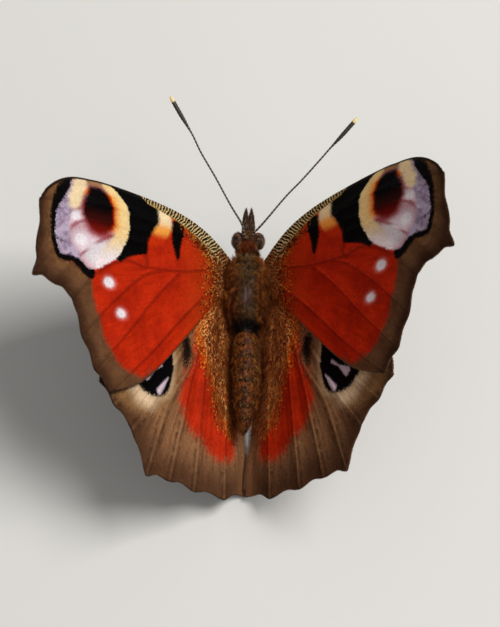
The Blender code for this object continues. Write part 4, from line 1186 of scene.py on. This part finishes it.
def trunk_surface():
    """The one skin over head, thorax and abdomen, with its collar, shoulders, grooves and segments."""
    stations = curve_through(TRUNK, TRUNK_STEPS)
    y, wide, up, down, centre = stations.T
    angles = np.arange(TRUNK_AROUND) * 2 * math.pi / TRUNK_AROUND
    rings = np.zeros((len(y), TRUNK_AROUND, 3))
    reach = np.where(np.sin(angles) > 0, up[:, None], down[:, None])
    rings[:, :, 0] = wide[:, None] * np.cos(angles)
    rings[:, :, 1] = y[:, None]
    rings[:, :, 2] = centre[:, None] + reach * np.sin(angles)
    x, yy, z = rings[:, :, 0], rings[:, :, 1], rings[:, :, 2]
    swell = np.zeros_like(x)
    for mirror in SIDES.values():
        swell += 0.2 * np.exp(-((x - 1.4 * mirror) ** 2 / 0.5 + (yy - 2.5) ** 2 / 1.1 + (z - 0.9) ** 2 / 0.6))
    swell += 0.16 * np.exp(-((yy + 2.5) ** 2 / 0.45 + x**2 / 1.2)) * (z > 0)
    swell -= 0.14 * np.exp(-((yy + 1.75) ** 2 / 0.05)) * np.clip(z, 0, 1)
    swell -= 0.06 * np.exp(-(x**2 / 0.03)) * np.clip(z, 0, 1) * (yy > -1.7) * (yy < 3.2)
    step = np.clip((ABDOMEN_FRONT - yy) / SEGMENT, 0, 8)
    lip = (step % 1.0) ** 2 * 0.09 - 0.03
    swell += lip * smooth(-4.5, -5.2, yy) * smooth(-15.0, -14.0, yy)
    size = np.hypot(x, z) + 1e-6
    rings[:, :, 0] += swell * x / size
    rings[:, :, 2] += swell * z / size
    points, triangles = closed_rings(rings, rings[0].mean(0) + (0, 0.05, 0), rings[-1].mean(0) - (0, 0.05, 0))
    triangles = turned_out(points, triangles)
    u = np.tile(0.04 + 0.92 * np.arange(TRUNK_AROUND) / TRUNK_AROUND, len(y))
    v = np.repeat(0.03 + 0.94 * (y - y.min()) / np.ptp(y), TRUNK_AROUND)
    uv = np.vstack([np.column_stack([u, v]), [(0.5, 0.985)], [(0.5, 0.015)]])
    return surface_of(from_body(points), triangles, points, uv, BODY_TURN)


def point_normals(points, triangles):
    a, b, c = (points[triangles[:, k]] for k in range(3))
    face = np.cross(b - a, c - a)
    normals = np.zeros_like(points)
    for k in range(3):
        np.add.at(normals, triangles[:, k], face)
    return normals / np.maximum(np.linalg.norm(normals, axis=1), 1e-12)[:, None]


def eye_clear(place):
    """0 inside an eye, 1 clear of it."""
    far = [np.linalg.norm((place - (EYE_CENTRE[0] * m, *EYE_CENTRE[1:])) / EYE_RADII, axis=1) for m in (-1, 1)]
    return smooth(0.98, 1.06, np.min(far, 0))


def add_body(hair, cuticle):
    """One skin over head, thorax and abdomen, and its coat: short fur, longer hair on the flanks and shoulders,
    a collar, and the speckled hair of the abdomen."""
    skin = trunk_surface()
    place = skin["place"]
    count = len(place)
    carried = {"place": place, "tone": np.full(count, 0.5), "luck": np.full(count, 0.5), "along": np.zeros(count)}
    make_piece(
        "body_skin", skin["points"], skin["triangles"], [cuticle],
        replaced=["head", "thorax", "abdomen"], uv=skin["uv"], fields=carried,
    )
    x, y, z = place.T
    side = smooth(0.6, 1.5, np.abs(x))
    rng = np.random.default_rng(1)

    def backwards(place):
        """Back along the body, spreading outwards over the flanks and the wings' roots."""
        out = smooth(0.5, 1.7, np.abs(place[:, 0])) * np.sign(place[:, 0])
        return np.column_stack([0.95 * out, -1.0 * np.ones(len(place)), 0.1 * place[:, 2]])

    def outwards(place):
        """Out over the wings' roots."""
        out = np.sign(place[:, 0]) * 1.2
        return np.column_stack([out, -0.5 + 1.3 * smooth(1.5, 3.2, place[:, 1]), 0.3 * np.ones(len(place))])

    def forwards(place):
        """Forwards and out, over the neck."""
        return np.column_stack([0.9 * place[:, 0], np.ones(len(place)), 0.5 * np.maximum(place[:, 2], 0)])

    def over_head(place):
        """Up and forwards on the face, back on the crown."""
        face = smooth(5.6, 6.4, place[:, 1])
        return np.column_stack([0.4 * place[:, 0], -1.0 + 1.8 * face, 0.3 * np.ones(len(place))])

    def all_of(size):
        return lambda place: size * np.ones(len(place))

    def head_length(place):
        return 0.38 + 0.3 * smooth(5.9, 5.0, place[:, 1])

    def flank_length(place):
        return 0.8 + 0.65 * smooth(0.8, 1.7, np.abs(place[:, 0]))

    worn = 1 - 0.85 * np.exp(-(x**2 / 0.2 + (y + 0.3) ** 2 / 1.2)) * (z > 0)
    trunk = smooth(4.3, 4.0, y) * smooth(-4.3, -3.9, y) * worn
    shoulders = smooth(1.2, 2.2, y) * smooth(4.1, 3.6, y) * side * smooth(-1.2, 0.0, z)
    sides = smooth(-3.6, -4.4, y) * smooth(-13.5, -11.0, y) * side * smooth(-0.9, -0.2, z) * (1.3 + np.sign(x))
    coats = [
        ("thorax_fur", 16000, trunk, backwards, all_of(0.48), 0.055, (0.6, 0.3), "thorax_fur", 1),
        ("thorax_hair", 8000, trunk * (0.25 + side), backwards, flank_length, 0.05, (0.62, 0.1), "thorax_fur", 2),
        ("shoulder_hair", 3000, shoulders, outwards, all_of(1.25), 0.05, (0.45, 0.0), "thorax_fur", 2),
        ("collar_hair", 1800, smooth(3.1, 3.5, y) * smooth(4.5, 4.2, y), forwards, all_of(0.6), 0.05, (0.9, 0.5),
         "thorax_fur", 2),
        ("head_hair", 7000, smooth(4.1, 4.4, y) * eye_clear(place), over_head, head_length, 0.045, (0.85, 0.35),
         "head_fur", 2),
        ("abdomen_fur", 20000, smooth(-3.8, -4.3, y), backwards, all_of(0.42), 0.06, (0.5, 0.3), "abdomen_fur", 1),
        ("abdomen_hair", 2600, sides, outwards, all_of(1.2), 0.042, (0.5, -0.1), "abdomen_fur", 2),
    ]
    for name, count, weight, lie, length, width, rise, slot, steps in coats:
        coat(name, rng, count, skin, weight, lie, length, width, rise, hair, steps)


def ball(centre, radii, subdivisions):
    work = bmesh.new()
    bmesh.ops.create_icosphere(work, subdivisions=subdivisions, radius=1.0)
    points = np.array([v.co for v in work.verts]) * radii + centre
    triangles = np.array([[v.index for v in f.verts] for f in work.faces])
    work.free()
    return points, turned_out(points - centre, triangles)


def add_eyes(lens, hair):
    for side, mirror in SIDES.items():
        centre = np.array((EYE_CENTRE[0] * mirror, *EYE_CENTRE[1:]))
        points, triangles = ball(centre, EYE_RADII, 5)
        unit = (points - centre) / EYE_RADII
        uv = np.column_stack([0.5 + np.arctan2(unit[:, 2], unit[:, 1]) / 7, 0.5 + 0.48 * unit[:, 0]])
        make_piece(
            f"eye_{side}_facets", from_body(points), triangles, [lens],
            replaced=[f"eye_{side}"], fields={"place": points}, uv=uv,
        )
        surface = surface_of(from_body(points), triangles, points, uv, BODY_TURN)

        def outwards(place, centre=centre):
            return place - centre + (0, -0.6, 0)

        def short(place):
            return 0.16 * np.ones(len(place))

        weight = (points[:, 0] * mirror > 0.95).astype(float)
        rng = np.random.default_rng(31)
        coat(f"eye_{side}_hair", rng, 420, surface, weight, outwards, short, 0.02, (1.2, 0.9), hair, sink=0)


def add_antennae(finish):
    """Slender ringed shafts, each joint a little swollen, and a flattened club with a pale tip."""
    for side in SIDES:
        path = even(curve_through(ANTENNAE[side], 24), 0.05)
        run = np.concatenate([[0], np.cumsum(np.linalg.norm(np.diff(path, axis=0), axis=1))])
        left = run[-1] - run
        club = smooth(4.6, 2.0, left) * (1 - 0.55 * smooth(0.7, 0.0, left) ** 2)
        joints = 0.012 * np.cos(2 * math.pi * run / ANTENNA_RING)
        radii = ANTENNA_SHAFT * (1 - 0.2 * smooth(0, 6, run)) + (ANTENNA_CLUB - ANTENNA_SHAFT * 0.8) * club + joints
        radii *= 1 + 0.5 * smooth(1.1, 0.5, run)
        points, triangles, at = tube(path, radii, 14)
        uv = tube_uv(at, 14)
        fields = {"run": at, "club": np.interp(at, run, club), "tip": np.interp(at, run, left)}
        make_piece(
            f"antenna_{side}_rings", from_body(points), turned_out(points - points.mean(0), triangles), [finish],
            replaced=[f"antenna_{side}"], fields=fields, uv=uv,
        )


def add_tongue(finish):
    """The proboscis, coiled like a watch spring under the head."""
    t = np.linspace(0, 1, 260)
    angle = math.radians(140) + 2 * math.pi * COIL_TURNS * t
    reach = COIL_RADIUS * (1 - 0.8 * t)
    path = np.column_stack([np.zeros(len(t)), reach * np.cos(angle), reach * np.sin(angle)]) + COIL_CENTRE
    path = np.vstack([np.linspace(MOUTH, path[0], 12, endpoint=False), path])
    radii = PROBOSCIS_RADIUS * np.interp(np.arange(len(path)), [0, 12, len(path)], [1, 1, 0.45])
    points, triangles, run = tube(path, radii, 14, across=(1.0, 0.0, 0.0))
    uv = tube_uv(run, 14)
    make_piece(
        "proboscis_coil", from_body(points), turned_out(points - points.mean(0), triangles), [finish],
        replaced=["proboscis"], fields={"run": run}, uv=uv,
    )


def add_palps(cuticle, hair):
    """Two snout-like palps, thick with bristly scales."""
    for side, mirror in SIDES.items():
        route = np.array(PALP) * (mirror, 1.0, 1.0)
        path = even(curve_through(route, 12), 0.06)
        t = np.linspace(0, 1, len(path))
        points, triangles, run = tube(path, np.interp(t, *PALP_THICKNESS), 20)
        triangles = turned_out(points - points.mean(0), triangles)
        uv = tube_uv(run, 20)
        count = len(points)
        carried = {"place": points, "tone": np.full(count, 0.4), "luck": np.full(count, 0.4), "along": np.zeros(count)}
        make_piece(
            f"palp_{side}_skin", from_body(points), triangles, [cuticle], replaced=[f"palp_{side}"],
            fields=carried, uv=uv,
        )
        surface = surface_of(from_body(points), triangles, points, uv, BODY_TURN)

        def forwards(place):
            return np.tile((0.0, 1.0, 0.35), (len(place), 1))

        def bristle(place):
            return 0.34 - 0.1 * smooth(8.4, 9.4, place[:, 1])

        rng = np.random.default_rng(41)
        name = f"palp_{side}_hair"
        coat(name, rng, 2000, surface, np.ones(count), forwards, bristle, 0.045, (0.55, 0.2), hair, clump=4)


def add_legs(finish, hair):
    """Legs with scaled thighs, spined shins and jointed feet that end in claws. The fore pair is a small brush."""
    for pair, joints in LEG_JOINTS.items():
        for side, mirror in SIDES.items():
            joint = np.array(joints)
            ground = np.array((BODY_AT[0], BODY_AT[1], 0.0))
            route = joint[:, :3] * (mirror, 1.0, 1.0) + ground
            path = even(np.column_stack([curve_through(route, 10), curve_through(joint[:, 3:], 10)]), 0.06)
            run = np.concatenate([[0], np.cumsum(np.linalg.norm(np.diff(path[:, :3], axis=0), axis=1))])
            foot = smooth(0.5, 0.2, path[:, 2])
            radii = path[:, 3] * (1 + 0.16 * foot * np.cos(2 * math.pi * run / 0.75))
            path[:, 2] = np.maximum(path[:, 2], radii * 0.98)
            points, triangles, at = tube(path[:, :3], radii, 14)
            points[:, 2] = np.maximum(points[:, 2], 0.0)
            triangles = turned_out(points - points.mean(0), triangles)
            parts = [(points, triangles, {"place": points - ground, "uv": tube_uv(at, 14)})]
            parts += leg_spines(path, pair, ground)
            points, triangles, fields = joined(parts)
            make_piece(
                f"leg_{pair}_{side}_cuticle", points, triangles, [finish],
                replaced=[f"leg_{pair}_{side}"], fields={"place": fields["place"]}, uv=fields["uv"],
            )
            add_leg_hair(pair, side, parts[0], path, hair)


def leg_spines(path, pair, ground):
    """Short spines along the shin and foot, and two claws at the end."""
    if pair == "fore":
        return []
    rng = np.random.default_rng(51)
    at = np.flatnonzero((path[:, 2] < 4.6) & (path[:, 2] > 0.35))[::5]
    ahead = np.gradient(path[:, :3], axis=0)
    ahead /= np.linalg.norm(ahead, axis=1)[:, None]
    out = rng.normal(0, 1, (len(at), 3))
    out -= ahead[at] * np.einsum("ij,ij->i", out, ahead[at])[:, None]
    out /= np.linalg.norm(out, axis=1)[:, None]
    share = np.arange(len(path)) / len(path)
    made = [(path[at, :3] + out * 0.08, out, ahead[at], rng.uniform(0.25, 0.38, len(at)), 0.06, 0.9, 0.5, share[at])]
    end, way = path[-1, :3], ahead[-1]
    across = np.cross(way, (0, 0, 1.0))
    claws = np.array([way + across * s * 0.6 for s in (-1, 1)])
    up = np.tile((0, 0, 1.0), (2, 1))
    made.append((np.tile(end, (2, 1)), up, claws, np.full(2, 0.3), 0.07, 0.5, -0.6, np.array((0.96, 0.97))))
    parts = []
    for roots, normals, lie, length, width, lift, settle, where in made:
        p, t, spread, owner = hairs(rng, roots, normals, lie, length, np.full(len(roots), width), lift, settle, 3)
        p[:, 2] = np.maximum(p[:, 2], 0.0)
        uv = np.column_stack([where[owner], np.full(len(owner), 0.97)]) + PATCH * spread
        parts.append((p, t, {"place": p - ground, "uv": uv}))
    return parts


def add_leg_hair(pair, side, part, path, hair):
    """Hair on the thigh, and all over the brush-like fore leg."""
    points, triangles, fields = part
    high = points[:, 2]
    weight = np.ones(len(points)) if pair == "fore" else smooth(4.2, 5.2, high)
    surface = surface_of(points, triangles, fields["place"] - (0, 0, 9.0), fields["uv"], np.eye(3))
    end = path[len(path) // 2, :3] - path[0, :3]

    def down_the_leg(place):
        return np.tile(end / np.linalg.norm(end), (len(place), 1))

    def length(place):
        return 0.45 * np.ones(len(place))

    rng = np.random.default_rng(61)
    name = f"leg_{pair}_{side}_hair"
    coat(name, rng, 700, surface, weight + 1e-5, down_the_leg, length, 0.05, (0.5, 0.1), hair, sink=0.03)


# Stage

def add_floor():
    mesh = bpy.data.meshes.new("floor")
    reach = 3.0
    corners = [(-reach, -reach, 0), (reach, -reach, 0), (reach, reach, 0), (-reach, reach, 0)]
    mesh.from_pydata(corners, [], [(0, 1, 2, 3)])
    material, _, shader = new_finish("studio_paper", 0.9, 0.3)
    shader.inputs["Base Color"].default_value = linear("DDDAD4")
    mesh.materials.append(material)
    floor = bpy.data.objects.new("floor", mesh)
    bpy.context.scene.collection.objects.link(floor)


def add_light(name, direction, distance, size, power):
    """A soft square light that looks at the insect from a direction."""
    data = bpy.data.lights.new(name, "AREA")
    data.size = size
    data.energy = power
    light = bpy.data.objects.new(name, data)
    towards = Vector(direction).normalized()
    light.location = Vector(BODY_AT * MM) + towards * distance
    light.rotation_euler = towards.to_track_quat("Z", "Y").to_euler()
    bpy.context.scene.collection.objects.link(light)


def add_stage():
    add_floor()
    add_light("key", (0.5, 0.12, 0.86), 0.6, 0.3, 3.4)
    add_light("fill", (-0.3, -0.7, 0.9), 0.7, 0.5, 0.35)
    world = bpy.data.worlds.new("studio")
    world.use_nodes = True
    world.node_tree.nodes["Background"].inputs["Color"].default_value = linear("F2F4F7")
    world.node_tree.nodes["Background"].inputs["Strength"].default_value = 0.27
    bpy.context.scene.world = world
    bpy.context.scene.view_settings.view_transform = "Standard"  # keeps the deep red of the scales as it is


def add_camera():
    data = bpy.data.cameras.new("view")
    data.sensor_width = SENSOR
    data.lens = CAMERA_DISTANCE * SENSOR / VIEW_HEIGHT
    data.clip_start, data.clip_end = 0.01, 10.0
    tilt = math.radians(CAMERA_ELEVATION)
    right = Vector((1, 0, 0))
    up = Vector((0, math.sin(tilt), math.cos(tilt)))
    back = Vector((0, -math.cos(tilt), math.sin(tilt)))
    aim = Vector(BODY_AT) + right * CAMERA_AIM[0] + up * CAMERA_AIM[1]
    camera = bpy.data.objects.new("view", data)
    camera.matrix_world = Matrix.Translation((aim + back * CAMERA_DISTANCE) * MM) @ Matrix(
        (right, up, back)
    ).transposed().to_4x4()
    bpy.context.scene.collection.objects.link(camera)
    bpy.context.scene.camera = camera


def build():
    add_camera()
    add_stage()
    root_hair, fringe = wing_hair(), fringe_scales()
    add_wings("forewing", forewing_scales(), underside_scales("forewing_under_scales", "5A4634"), root_hair, fringe)
    add_wings("hindwing", hindwing_scales(), underside_scales("hindwing_under_scales", "3E3026"), root_hair, fringe)
    hair, cuticle = coat_hair(), skin_cuticle()
    add_body(hair, cuticle)
    add_eyes(eye_lens(), hair)
    add_antennae(ringed_cuticle())
    add_tongue(tongue_cuticle())
    add_palps(cuticle, hair)
    add_legs(leg_scales(), hair)


build()
bpy.context.view_layer.update()
